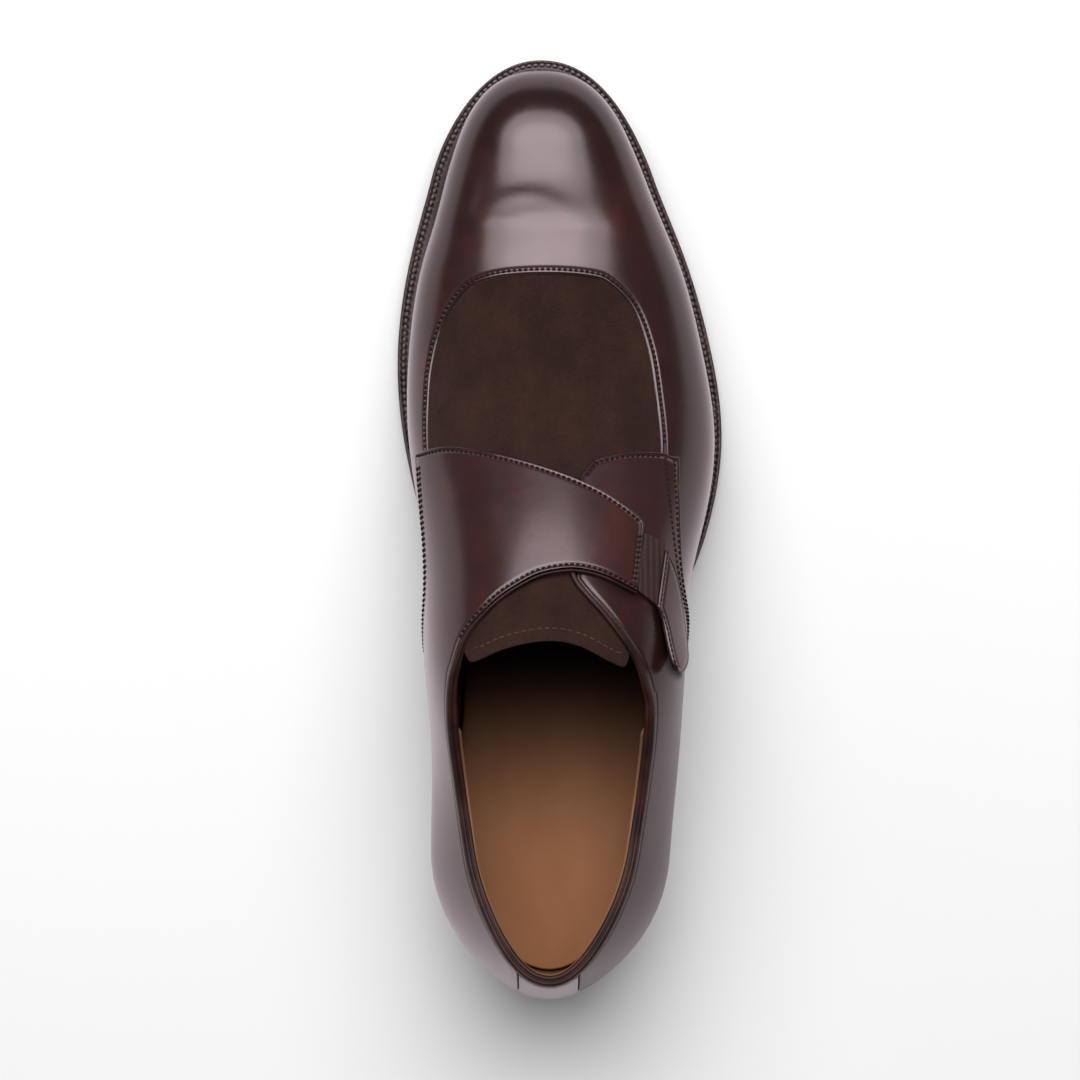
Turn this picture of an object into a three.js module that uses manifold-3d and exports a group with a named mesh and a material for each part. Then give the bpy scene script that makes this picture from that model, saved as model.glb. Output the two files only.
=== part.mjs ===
// A right monk strap shoe, in millimetres.
// X runs to the outer side of the foot, Y to the toe and Z up.
// One function gives the surface of the last. The upper, its overlays, the welt and the
// insole are all cut from that function grown or shrunk by a few millimetres.
import * as THREE from 'three';
import { mergeVertices } from 'three/addons/utils/BufferGeometryUtils.js';
import Module from 'manifold-3d';

const wasm = await Module();
wasm.setup();

// Driving dimensions of the last
const LAST_LENGTH = 300.5;
const BALL_WIDTH = 100;
const INSTEP_HEIGHT = 100;
const BELLY_HEIGHT = 20;
const HEEL_ROUND = 46;
const TOE_ROUND = 38;
const TOE_FALL = 27;
const BACK_LEAN = 9.2;
const BACK_TUCK = 3;
const LEAN_REACH = 90;
const LEAN_POWER = 1.4;
const TOE_PLAN_POWER = 2.1;
const TOE_FALL_POWER = 2.2;

// Driving dimensions of the bottom
const HEEL_HEIGHT = 22;
const HEEL_LENGTH = 75;
const HEEL_TAPER = 2;
const BREAST_CURVE = 4;
const LIFT_THICKNESS = 6;
const TOE_SPRING = 12;
const SPRING_POWER = 1.8;
const SOLE_THICKNESS = 5;
const WELT_THICKNESS = 3.2;
const WELT_WIDTH = 4.6;
const TOE_MARGIN = 3.4;
const WAIST_MARGIN = 1.2;
const WELT_GROOVE = 0.5;
const INSOLE_RISE = 1.4;

// Driving dimensions of the leathers
const WALL = 2.5;
const LINING = 0.8;
const SUEDE = 0.9;
const QUARTER_LEATHER = 1.1;
const STRIP_THICKNESS = 0.9;
const TAB_THICKNESS = 1.5;
const TAB_CURL = 4;
const BACK_STRIP_WIDTH = 19;
const BACK_STRIP_LEATHER = 1.4;
const COLLAR_HEIGHT = 94;
const BINDING_HEIGHT = 2;
const GAP = 0.3;

// Points closer than this are one point
const MERGE = 1e-3;

// Sections of the last from heel to toe. at is a share of LAST_LENGTH. medial and lateral
// are the widest places each side, medialFoot and lateralFoot the lower edge there, and
// ridge the middle line, as shares of BALL_WIDTH. top is a share of INSTEP_HEIGHT and belly
// of BELLY_HEIGHT. bend, medialFull and lateralFull are the powers of the upper curve.
const SECTIONS = [
  { at: 0.00, medial: 0.310, lateral: 0.300, medialFoot: 0.280, lateralFoot: 0.275, ridge: 0.004,
    top: 1.18, belly: 0.90, bend: 1.3, medialFull: 0.62, lateralFull: 0.62 },
  { at: 0.05, medial: 0.338, lateral: 0.345, medialFoot: 0.302, lateralFoot: 0.312, ridge: 0.005,
    top: 1.20, belly: 0.90, bend: 1.3, medialFull: 0.82, lateralFull: 0.82 },
  { at: 0.155, medial: 0.364, lateral: 0.379, medialFoot: 0.326, lateralFoot: 0.343, ridge: 0.005,
    top: 1.22, belly: 0.90, bend: 1.3, medialFull: 0.90, lateralFull: 0.86 },
  { at: 0.26, medial: 0.362, lateral: 0.408, medialFoot: 0.312, lateralFoot: 0.352, ridge: 0.000,
    top: 1.16, belly: 0.95, bend: 1.5, medialFull: 0.54, lateralFull: 0.69 },
  { at: 0.37, medial: 0.388, lateral: 0.432, medialFoot: 0.298, lateralFoot: 0.380, ridge: -0.010,
    top: 1.00, belly: 1.00, bend: 2.3, medialFull: 0.43, lateralFull: 0.52 },
  { at: 0.45, medial: 0.398, lateral: 0.466, medialFoot: 0.328, lateralFoot: 0.438, ridge: -0.020,
    top: 0.89, belly: 1.00, bend: 2.2, medialFull: 0.43, lateralFull: 0.49 },
  { at: 0.52, medial: 0.424, lateral: 0.518, medialFoot: 0.382, lateralFoot: 0.500, ridge: -0.028,
    top: 0.78, belly: 0.95, bend: 2.1, medialFull: 0.45, lateralFull: 0.50 },
  { at: 0.60, medial: 0.458, lateral: 0.545, medialFoot: 0.436, lateralFoot: 0.531, ridge: -0.026,
    top: 0.645, belly: 0.85, bend: 2.1, medialFull: 0.47, lateralFull: 0.50 },
  { at: 0.69, medial: 0.458, lateral: 0.508, medialFoot: 0.453, lateralFoot: 0.495, ridge: -0.020,
    top: 0.545, belly: 0.70, bend: 2.1, medialFull: 0.47, lateralFull: 0.49 },
  { at: 0.80, medial: 0.407, lateral: 0.419, medialFoot: 0.402, lateralFoot: 0.395, ridge: -0.018,
    top: 0.495, belly: 0.52, bend: 2.2, medialFull: 0.45, lateralFull: 0.45 },
  { at: 0.90, medial: 0.326, lateral: 0.301, medialFoot: 0.320, lateralFoot: 0.277, ridge: -0.020,
    top: 0.470, belly: 0.42, bend: 2.2, medialFull: 0.43, lateralFull: 0.43 },
  { at: 1.00, medial: 0.318, lateral: 0.270, medialFoot: 0.280, lateralFoot: 0.240, ridge: -0.023,
    top: 0.450, belly: 0.36, bend: 2.2, medialFull: 0.42, lateralFull: 0.42 },
];

// The collar's height seen from the side, as shares of LAST_LENGTH and COLLAR_HEIGHT
const COLLAR = [
  { at: 0.00, height: 1.000 }, { at: 0.06, height: 0.945 }, { at: 0.14, height: 0.868 },
  { at: 0.22, height: 0.840 }, { at: 0.30, height: 0.888 }, { at: 0.37, height: 0.942 },
  { at: 0.44, height: 0.985 },
];

// Outlines seen from above. x is a share of BALL_WIDTH and y of LAST_LENGTH.
const THROAT = [
  { x: -0.308, y: 0.348 }, { x: -0.277, y: 0.379 }, { x: -0.201, y: 0.413 },
  { x: -0.091, y: 0.441 }, { x: 0.030, y: 0.456 }, { x: 0.080, y: 0.451 }, { x: 0.119, y: 0.433 },
  { x: 0.199, y: 0.403 }, { x: 0.284, y: 0.363 }, { x: 0.328, y: 0.322 },
];
const STRAP_FRONT = [
  { x: -0.432, y: 0.580 }, { x: -0.319, y: 0.586 }, { x: -0.154, y: 0.577 }, { x: 0.020, y: 0.560 },
  { x: 0.162, y: 0.540 }, { x: 0.274, y: 0.515 }, { x: 0.307, y: 0.503 },
];
const STRAP_REAR = [
  { x: 0.281, y: 0.432 }, { x: 0.180, y: 0.449 }, { x: 0.100, y: 0.456 }, { x: 0.039, y: 0.456 },
  { x: -0.031, y: 0.451 }, { x: -0.091, y: 0.441 }, { x: -0.151, y: 0.428 },
  { x: -0.201, y: 0.413 }, { x: -0.247, y: 0.396 }, { x: -0.277, y: 0.379 },
  { x: -0.308, y: 0.348 },
];
const WING_FRONT = [
  { x: 0.103, y: 0.554 }, { x: 0.143, y: 0.570 }, { x: 0.184, y: 0.575 }, { x: 0.246, y: 0.579 },
  { x: 0.308, y: 0.580 }, { x: 0.370, y: 0.579 }, { x: 0.400, y: 0.575 },
];
const WING_THROAT = [
  { x: 0.328, y: 0.322 }, { x: 0.284, y: 0.363 }, { x: 0.199, y: 0.403 }, { x: 0.119, y: 0.433 },
  { x: 0.088, y: 0.446 },
];
const PLUG = [
  { x: -0.257, y: 0.369 }, { x: -0.268, y: 0.420 }, { x: -0.336, y: 0.500 }, { x: -0.384, y: 0.575 },
  { x: -0.386, y: 0.639 }, { x: -0.373, y: 0.679 }, { x: -0.343, y: 0.715 }, { x: -0.297, y: 0.741 },
  { x: -0.246, y: 0.757 }, { x: -0.155, y: 0.766 }, { x: -0.010, y: 0.769 }, { x: 0.134, y: 0.766 },
  { x: 0.199, y: 0.758 }, { x: 0.270, y: 0.734 }, { x: 0.316, y: 0.695 }, { x: 0.339, y: 0.653 },
  { x: 0.358, y: 0.583 }, { x: 0.340, y: 0.510 }, { x: 0.280, y: 0.430 }, { x: 0.247, y: 0.366 },
];
const TONGUE_END = [
  { x: 0.247, y: 0.366 }, { x: 0.236, y: 0.356 }, { x: 0.209, y: 0.357 }, { x: 0.099, y: 0.376 },
  { x: 0.019, y: 0.382 }, { x: -0.061, y: 0.380 }, { x: -0.141, y: 0.373 }, { x: -0.201, y: 0.364 },
  { x: -0.238, y: 0.360 }, { x: -0.257, y: 0.369 },
];
const STRIP = [
  { x: 0.308, y: 0.4945 }, { x: 0.366, y: 0.483 }, { x: 0.336, y: 0.4175 }, { x: 0.286, y: 0.4335 },
];
const TAB = [
  { x: 0.371, y: 0.482 }, { x: 0.341, y: 0.417 }, { x: 0.362, y: 0.396 }, { x: 0.380, y: 0.369 },
  { x: 0.394, y: 0.353 }, { x: 0.414, y: 0.346 },
];

// The quarters' lower seams and the tab's lower edge seen from the side, as shares of
// LAST_LENGTH and INSTEP_HEIGHT
const MEDIAL_SEAM = [
  { y: 0.590, z: 0.441 }, { y: 0.570, z: 0.453 }, { y: 0.510, z: 0.496 }, { y: 0.466, z: 0.530 },
  { y: 0.430, z: 0.540 }, { y: 0.400, z: 0.490 }, { y: 0.365, z: 0.380 }, { y: 0.330, z: 0.250 },
];
const LATERAL_SEAM = [
  { y: 0.590, z: 0.538 }, { y: 0.575, z: 0.552 }, { y: 0.540, z: 0.591 }, { y: 0.500, z: 0.622 },
  { y: 0.463, z: 0.630 }, { y: 0.430, z: 0.605 }, { y: 0.400, z: 0.520 }, { y: 0.365, z: 0.400 },
  { y: 0.325, z: 0.240 },
];
const TAB_LOWER = [
  { y: 0.4825, z: 0.727 }, { y: 0.466, z: 0.709 }, { y: 0.446, z: 0.694 }, { y: 0.418, z: 0.683 },
  { y: 0.391, z: 0.690 }, { y: 0.364, z: 0.727 }, { y: 0.350, z: 0.775 }, { y: 0.346, z: 0.810 },
];

// Smooth curve through rows of a table, worked out as a natural cubic spline
function spline(at, values) {
  const count = at.length;
  const step = at.slice(1).map((value, i) => value - at[i]);
  const pivot = new Array(count).fill(1);
  const side = new Array(count).fill(0);
  const second = new Array(count).fill(0);
  for (let i = 1; i < count - 1; i++) {
    const slope = (values[i + 1] - values[i]) / step[i] - (values[i] - values[i - 1]) / step[i - 1];
    const share = step[i - 1] / pivot[i - 1];
    pivot[i] = 2 * (step[i - 1] + step[i]) - (i > 1 ? share * step[i - 1] : 0);
    side[i] = 6 * slope - (i > 1 ? share * side[i - 1] : 0);
  }
  for (let i = count - 2; i > 0; i--) second[i] = (side[i] - step[i] * second[i + 1]) / pivot[i];
  return (x) => {
    let k = 0;
    while (k < count - 2 && x > at[k + 1]) k++;
    const a = (at[k + 1] - x) / step[k];
    const b = (x - at[k]) / step[k];
    const bow = ((a ** 3 - a) * second[k] + (b ** 3 - b) * second[k + 1]) * step[k] ** 2 / 6;
    return a * values[k] + b * values[k + 1] + bow;
  };
}

const column = {};
for (const name of Object.keys(SECTIONS[0])) {
  column[name] = spline(SECTIONS.map((row) => row.at), SECTIONS.map((row) => row[name]));
}
const collarShare = spline(COLLAR.map((row) => row.at), COLLAR.map((row) => row.height));

const clamp = THREE.MathUtils.clamp;
const smooth = THREE.MathUtils.smoothstep;

// Height of the sole's underside: heel, arch, a flat tread under the ball, and toe spring
const TREAD_BACK = 0.635;
const TREAD_FRONT = 0.71;
const SEAT_PITCH = 0.07;
function bottom(y) {
  const arch = 1 - smooth(y, HEEL_LENGTH, TREAD_BACK * LAST_LENGTH);
  const seat = clamp(1 - y / HEEL_LENGTH, 0, 1.1);
  const front = clamp((y / LAST_LENGTH - TREAD_FRONT) / (1 - TREAD_FRONT), 0, 1.1);
  return HEEL_HEIGHT * ((1 - SEAT_PITCH) * arch + SEAT_PITCH * seat) + TOE_SPRING * front ** SPRING_POWER;
}

const BOTTOM_STACK = SOLE_THICKNESS + GAP + WELT_THICKNESS + GAP;
const feather = (y) => bottom(y) + BOTTOM_STACK;

// Point on the last. side is -1 on the inner side and 1 on the outer, at the share along
// it, level runs from 0 at the lower edge over 1 at the belly to 2 on the ridge, and grow
// moves the surface out.
function lastPoint(side, at, level, grow) {
  const y = at * LAST_LENGTH;
  const name = side < 0 ? 'medial' : 'lateral';
  const ridge = column.ridge(at) * BALL_WIDTH;
  const wide = column[name](at) * BALL_WIDTH - side * ridge;
  const foot = column[name + 'Foot'](at) * BALL_WIDTH - side * ridge;
  const back = clamp(1 - y / HEEL_ROUND, 0, 1);
  const front = clamp(1 - (LAST_LENGTH - y) / TOE_ROUND, 0, 1);
  const fall = clamp(1 - (LAST_LENGTH - y) / TOE_FALL, 0, 1);
  const narrow = Math.sqrt(1 - back ** 2) * (1 - front ** TOE_PLAN_POWER) ** (1 / TOE_PLAN_POWER);
  const low = (1 - fall ** TOE_FALL_POWER) ** (1 / TOE_FALL_POWER);
  const base = feather(y);
  const belly = column.belly(at) * BELLY_HEIGHT * low;
  const top = (column.top(at) * INSTEP_HEIGHT + grow - base) * low - belly;
  let reach = foot + grow + (wide - foot) * Math.sin(Math.PI / 2 * Math.min(level, 1));
  let z = base + belly * Math.min(level, 1);
  if (level > 1) {
    const angle = Math.PI / 2 * (level - 1);
    const full = column[name + 'Full'](at);
    reach *= Math.max(Math.cos(angle), 0) ** (2 * full);
    z += top * Math.sin(angle) ** (2 / column.bend(at));
  }
  if (level >= 2) reach = 0;
  const near = Math.max(1 - y / LEAN_REACH, 0) ** 2;
  const above = (z - base - belly) / (COLLAR_HEIGHT - base - belly);
  const tuck = 1 - (z - base) / Math.max(belly, 1);
  const lean = above > 0 ? BACK_LEAN * above ** LEAN_POWER : BACK_TUCK * tuck ** 2;
  return new THREE.Vector3(ridge + side * reach * narrow, y + grow * (2 * at - 1) + near * lean, z);
}

// Shares along the last where sections are taken, closer at the rounded ends
const MIDDLE_STEPS = 20;
const END_STEPS = 6;
const stations = [];
for (let i = 0; i < END_STEPS; i++) {
  stations.push(HEEL_ROUND * (1 - Math.cos(Math.PI / 2 * i / END_STEPS)) / LAST_LENGTH);
}
for (let i = 0; i < MIDDLE_STEPS; i++) {
  const straight = LAST_LENGTH - HEEL_ROUND - TOE_ROUND;
  stations.push((HEEL_ROUND + straight * i / MIDDLE_STEPS) / LAST_LENGTH);
}
for (let i = 0; i <= END_STEPS; i++) {
  stations.push(1 - TOE_ROUND * (1 - Math.sin(Math.PI / 2 * i / END_STEPS)) / LAST_LENGTH);
}
const levels = [0, 0.5, 1];
const TOP_LEVELS = 8;
for (let i = 1; i <= TOP_LEVELS; i++) levels.push(1 + i / TOP_LEVELS);

// Closed mesh from triangles given as triples of points, with its doubles merged
function meshFrom(triangles) {
  const geometry = new THREE.BufferGeometry();
  const flat = triangles.flatMap((corners) => corners.flatMap((point) => [point.x, point.y, point.z]));
  geometry.setAttribute('position', new THREE.Float32BufferAttribute(flat, 3));
  const merged = mergeVertices(geometry, MERGE);
  const index = Array.from(merged.index.array);
  const kept = [];
  for (let i = 0; i < index.length; i += 3) {
    const [a, b, c] = index.slice(i, i + 3);
    if (a !== b && b !== c && c !== a) kept.push(a, b, c);
  }
  merged.setIndex(kept);
  return merged;
}

function solidFrom(geometry) {
  const bare = geometry.clone();
  bare.deleteAttribute('normal');
  bare.deleteAttribute('uv');
  const merged = bare.index ? bare : mergeVertices(bare, MERGE);
  return new wasm.Manifold(new wasm.Mesh({
    numProp: 3,
    vertProperties: new Float32Array(merged.attributes.position.array),
    triVerts: new Uint32Array(merged.index.array),
  }));
}

function geometryFrom(solid) {
  const mesh = solid.getMesh();
  const geometry = new THREE.BufferGeometry();
  const points = new THREE.BufferAttribute(new Float32Array(mesh.vertProperties), mesh.numProp);
  geometry.setAttribute('position', points);
  geometry.setIndex(new THREE.BufferAttribute(new Uint32Array(mesh.triVerts), 1));
  return geometry;
}

// Rings of points joined into a closed body. Every ring runs the same way round, and the
// first and the last are closed with a fan of the given triangles or shrink to a point.
function loft(rings, capFaces) {
  const triangles = [];
  const count = rings[0].length;
  for (let i = 0; i + 1 < rings.length; i++) {
    for (let j = 0; j < count; j++) {
      const next = (j + 1) % count;
      triangles.push([rings[i][j], rings[i][next], rings[i + 1][next]]);
      triangles.push([rings[i][j], rings[i + 1][next], rings[i + 1][j]]);
    }
  }
  for (const [a, b, c] of capFaces ?? []) {
    const last = rings[rings.length - 1];
    triangles.push([rings[0][c], rings[0][b], rings[0][a]], [last[a], last[b], last[c]]);
  }
  return meshFrom(triangles);
}

// The last as a closed form, grown by an amount that may change from place to place. Its
// walls carry on straight down by drop, which lets it cut through a wall's lower edge.
function form(grow, drop = 0) {
  const amount = typeof grow === 'function' ? grow : () => grow;
  const point = (side, at, level) => {
    const plain = lastPoint(side, at, level, 0);
    return lastPoint(side, at, level, amount(plain.x, plain.y));
  };
  const rings = stations.map((at) => {
    const inner = levels.map((level) => point(-1, at, level));
    const outer = levels.slice(0, -1).map((level) => point(1, at, level)).reverse();
    const ring = [...inner, ...outer];
    if (drop > 0) {
      const lower = (from) => from.clone().setZ(from.z - drop);
      ring.unshift(lower(inner[0]));
      ring.push(lower(outer[outer.length - 1]));
    }
    return ring;
  });
  return solidFrom(loft(rings));
}

const across = (row) => new THREE.Vector2(row.x * BALL_WIDTH, row.y * LAST_LENGTH);
const along = (row) => new THREE.Vector2(row.y * LAST_LENGTH, row.z * INSTEP_HEIGHT);

// Smooth run of points through the rows of an outline
const CURVE_STEPS = 3;
function curve(points) {
  return new THREE.SplineCurve(points).getPoints((points.length - 1) * CURVE_STEPS);
}

// Upright block over an outline seen from above
const BLOCK_HEIGHT = 200;
function planBlock(outline) {
  const block = new THREE.ExtrudeGeometry(new THREE.Shape(outline), { depth: BLOCK_HEIGHT, bevelEnabled: false });
  return solidFrom(block.translate(0, 0, -BLOCK_HEIGHT / 4));
}

// Level block through an outline seen from the side, from one x to another
function sideBlock(outline, from, to) {
  const block = new THREE.ExtrudeGeometry(new THREE.Shape(outline), { depth: to - from, bevelEnabled: false });
  block.rotateY(Math.PI / 2).rotateX(Math.PI / 2);
  return solidFrom(block.translate(from, 0, 0));
}

const OUTSIDE = BALL_WIDTH;
const BEHIND = -0.1 * LAST_LENGTH;
const vector = (x, y) => new THREE.Vector2(x, y);

// What is cut away above the collar, and between the throat's two edges
const COLLAR_STEPS = 36;
const collarFront = { inner: THROAT[0], outer: THROAT[THROAT.length - 1] };
function collarHeight(y) {
  return collarShare(clamp(y / LAST_LENGTH, 0, COLLAR[COLLAR.length - 1].at)) * COLLAR_HEIGHT;
}
function aboveCollar(from, to, front) {
  const outline = [vector(BEHIND, BLOCK_HEIGHT), vector(BEHIND, COLLAR_HEIGHT)];
  for (let i = 0; i <= COLLAR_STEPS; i++) {
    const y = front * i / COLLAR_STEPS;
    outline.push(vector(y, collarHeight(y)));
  }
  outline.push(vector(front, BLOCK_HEIGHT));
  return sideBlock(outline, from, to);
}
function aboveLevel(z) {
  const corners = [vector(BEHIND, z), vector(LAST_LENGTH, z), vector(LAST_LENGTH, BLOCK_HEIGHT),
    vector(BEHIND, BLOCK_HEIGHT)];
  return sideBlock(corners, -OUTSIDE, OUTSIDE);
}
const THROAT_LOWEST = 0.6;
const THROAT_BACK = 0.25;
const OVERLAP = 0.01;
const throatOutline = [...curve(THROAT.map(across)), vector(0, THROAT_BACK * LAST_LENGTH)];
const opening = aboveCollar(-OUTSIDE, OVERLAP, collarFront.inner.y * LAST_LENGTH)
  .add(aboveCollar(0, OUTSIDE, collarFront.outer.y * LAST_LENGTH))
  .add(planBlock(throatOutline).intersect(aboveLevel(THROAT_LOWEST * INSTEP_HEIGHT)));

// Outline of the plug and tongue, moved out from its middle by a margin
const PLUG_MIDDLE = 0.56;
function plugOutline(margin) {
  const points = [...curve(PLUG.map(across)), ...curve(TONGUE_END.map(across)).slice(1, -1)];
  const centre = vector(0, PLUG_MIDDLE * LAST_LENGTH);
  return points.map((point) => {
    const out = point.clone().sub(centre);
    return point.clone().add(out.setLength(margin));
  });
}

// One hollow wall, with a window let into it where the plug lies
const PLUG_SEAT = -WALL + LINING;
function makeUpper() {
  const shell = form(0).subtract(form(-WALL, 2 * WALL));
  const window = planBlock(plugOutline(GAP)).subtract(form(PLUG_SEAT, BLOCK_HEIGHT / 4));
  return shell.subtract(opening).subtract(window);
}

function makeTongue() {
  const low = PLUG_SEAT + GAP;
  return form(low + SUEDE).subtract(form(low, WALL)).intersect(planBlock(plugOutline(0)));
}

// Level at which the strap lies: on the vamp, and past the wing's edge on the wing. It rises
// over a short way before that edge.
const WING_EDGE = 0.092 * BALL_WIDTH;
const RISE_START = 7;
const RISE_END = 1;
const ON_VAMP = GAP;
const ON_WING = GAP + QUARTER_LEATHER + GAP;
function strapLevel(x) {
  return ON_VAMP + (ON_WING - ON_VAMP) * smooth(x, WING_EDGE - RISE_START, WING_EDGE - RISE_END);
}

function seamBlock(rows, from, to) {
  const line = curve(rows.map(along));
  const below = -BLOCK_HEIGHT / 4;
  return sideBlock([...line, vector(line[line.length - 1].x, below), vector(LAST_LENGTH, below),
    vector(LAST_LENGTH, line[0].y)], from, to);
}

// Both quarters' outlines turn in at this share of the length, inside the opening
const QUARTER_TURN = 0.29;
function makeMedialQuarter() {
  const backEdge = -BACK_STRIP_WIDTH / 2 - GAP;
  const outline = [
    vector(-OUTSIDE, STRAP_FRONT[0].y * LAST_LENGTH),
    ...curve(STRAP_FRONT.map(across)),
    ...curve(STRAP_REAR.map(across)),
    vector(backEdge, QUARTER_TURN * LAST_LENGTH), vector(backEdge, BEHIND), vector(-OUTSIDE, BEHIND),
  ];
  const layer = form((x) => strapLevel(x) + QUARTER_LEATHER).subtract(form(strapLevel, WALL));
  return layer.intersect(planBlock(outline)).subtract(opening)
    .subtract(seamBlock(MEDIAL_SEAM, -OUTSIDE, 0));
}

function makeLateralQuarter() {
  const backEdge = BACK_STRIP_WIDTH / 2 + GAP;
  const outline = [
    ...curve(WING_FRONT.map(across)),
    vector(OUTSIDE, WING_FRONT[WING_FRONT.length - 1].y * LAST_LENGTH), vector(OUTSIDE, BEHIND),
    vector(backEdge, BEHIND), vector(backEdge, QUARTER_TURN * LAST_LENGTH),
    ...curve(WING_THROAT.map(across)),
  ];
  const layer = form(GAP + QUARTER_LEATHER).subtract(form(GAP, WALL));
  return layer.intersect(planBlock(outline)).subtract(opening)
    .subtract(seamBlock(LATERAL_SEAM, 0, OUTSIDE));
}

function makeBackStrip() {
  const half = BACK_STRIP_WIDTH / 2;
  const outline = [vector(-half, BEHIND), vector(half, BEHIND), vector(half, HEEL_ROUND), vector(-half, HEEL_ROUND)];
  const layer = form(GAP + BACK_STRIP_LEATHER).subtract(form(GAP, WALL));
  return layer.intersect(planBlock(outline)).subtract(opening);
}

function makeStrip() {
  const layer = form(ON_WING + STRIP_THICKNESS).subtract(form(ON_WING, WALL));
  return layer.intersect(planBlock(STRIP.map(across)));
}

// The tab's rear tip curls away from the quarter, between these shares of the length
const TAB_TIP = 0.345;
const CURL_START = 0.44;
function tabLevel(x, y) {
  const tip = 1 - smooth(y, TAB_TIP * LAST_LENGTH, CURL_START * LAST_LENGTH);
  return ON_WING + TAB_CURL * tip ** 2;
}
function makeTab() {
  const layer = form((x, y) => tabLevel(x, y) + TAB_THICKNESS).subtract(form(tabLevel, WALL));
  const outline = [
    across(TAB[0]), ...curve(TAB.slice(1).map(across)),
    vector(OUTSIDE, TAB[TAB.length - 1].y * LAST_LENGTH), vector(OUTSIDE, TAB[0].y * LAST_LENGTH),
  ];
  return layer.intersect(planBlock(outline)).subtract(seamBlock(TAB_LOWER, 0, OUTSIDE));
}

// Level on a section where the wall reaches the collar's height, found by halving
const HALVINGS = 30;
function collarLevel(side, at, grow) {
  let low = 1;
  let high = 2;
  for (let i = 0; i < HALVINGS; i++) {
    const middle = (low + high) / 2;
    const point = lastPoint(side, at, middle, grow);
    if (point.z < collarHeight(point.y)) low = middle;
    else high = middle;
  }
  return low;
}

// Rolled edge over the wall and the quarters' upper edges, from one throat edge round the
// heel to the other. Each row is a place across it and a height, as shares.
const BINDING_SECTION = [
  { across: 0, height: 0 }, { across: 0.04, height: 0.6 }, { across: 0.3, height: 1 },
  { across: 0.7, height: 1 }, { across: 0.96, height: 0.6 }, { across: 1, height: 0 },
];
const BINDING_END = 0.002;
const CLOSEST = 0.01;
function makeBinding() {
  const width = WALL + GAP + QUARTER_LEATHER;
  const upTo = (front) => [...stations.filter((at) => at > 0 && at < front - CLOSEST), front - BINDING_END];
  const walk = [
    ...upTo(collarFront.inner.y).reverse().map((at) => [-1, at]),
    [-1, 0],
    ...upTo(collarFront.outer.y).map((at) => [1, at]),
  ];
  const rings = walk.map(([side, at]) => BINDING_SECTION.map((row) => {
    const grow = -WALL + width * row.across;
    const point = lastPoint(side, at, collarLevel(side, at, grow), grow);
    return point.setZ(collarHeight(point.y) + GAP + BINDING_HEIGHT * row.height);
  }));
  const faces = THREE.ShapeUtils.triangulateShape(
    BINDING_SECTION.map((row) => vector(-row.across, row.height)), []);
  return loft(rings, faces);
}

// Margin of the sole past the upper's lower edge: narrow to the waist, wide from the forepart
// on and a little less at the tip
const WAIST_END = 0.36;
const FOREPART_START = 0.50;
const TIP_START = 0.88;
function soleMargin(at) {
  const forward = smooth(at, WAIST_END, FOREPART_START);
  const tip = smooth(at, TIP_START, 1);
  return WAIST_MARGIN + (WELT_WIDTH - WAIST_MARGIN) * forward - (WELT_WIDTH - TOE_MARGIN) * tip;
}
function edgePoint(side, at, grow, z) {
  const point = lastPoint(side, at, 0, grow);
  return point.setZ(z(point.y));
}

// Round the whole edge: up the outer side from heel to toe, and back down the inner side
const round = [
  ...stations.map((at) => [1, at]),
  ...stations.slice(1, -1).reverse().map((at) => [-1, at]),
];

// Ring whose section is given as rows of a place across it and a height
function makeWelt() {
  const low = (y) => bottom(y) + SOLE_THICKNESS + GAP;
  const section = [
    { out: 0, inset: 0.4, up: 0 }, { out: 0, inset: 0, up: 0.3 }, { out: 0, inset: 0, up: 0.7 },
    { out: 0, inset: 0.7, up: 1 }, { out: 0, inset: 1.3, up: 1 }, { out: 0, inset: 1.7, up: 1, sunk: 1 },
    { out: 0, inset: 2.5, up: 1, sunk: 1 }, { out: 0, inset: 2.9, up: 1 },
    { out: 1, inset: 0, up: 1 }, { out: 1, inset: 0, up: 0 },
  ];
  const rings = section.map((row) => round.map(([side, at]) => {
    const margin = soleMargin(at);
    const grow = row.out ? -WALL : margin - row.inset * margin / WELT_WIDTH;
    const height = (y) => low(y) + WELT_THICKNESS * row.up - (row.sunk ? WELT_GROOVE : 0);
    return edgePoint(side, at, grow, height);
  }));
  return loft([...rings, rings[0]]);
}

// Plate between two heights, with a section at each station
function plate(grow, low, high, chamfer) {
  const rings = stations.map((at) => {
    const point = (side, inset, height) => edgePoint(side, at, grow(at) - inset, height);
    const raised = (y) => low(y) + chamfer;
    const eased = (y) => high(y) - chamfer;
    return [
      point(-1, chamfer, low), point(-1, 0, raised), point(-1, 0, eased), point(-1, chamfer, high),
      point(1, chamfer, high), point(1, 0, eased), point(1, 0, raised), point(1, chamfer, low),
    ];
  });
  return loft(rings);
}
const SOLE_CHAMFER = 0.8;
const makeOutsole = () => plate(soleMargin, bottom, (y) => bottom(y) + SOLE_THICKNESS, SOLE_CHAMFER);
const INSOLE_CHAMFER = 0.5;
const makeInsole = () => plate(() => -WALL - GAP, (y) => bottom(y) + SOLE_THICKNESS + GAP,
  (y) => feather(y) + INSOLE_RISE, INSOLE_CHAMFER);

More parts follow.
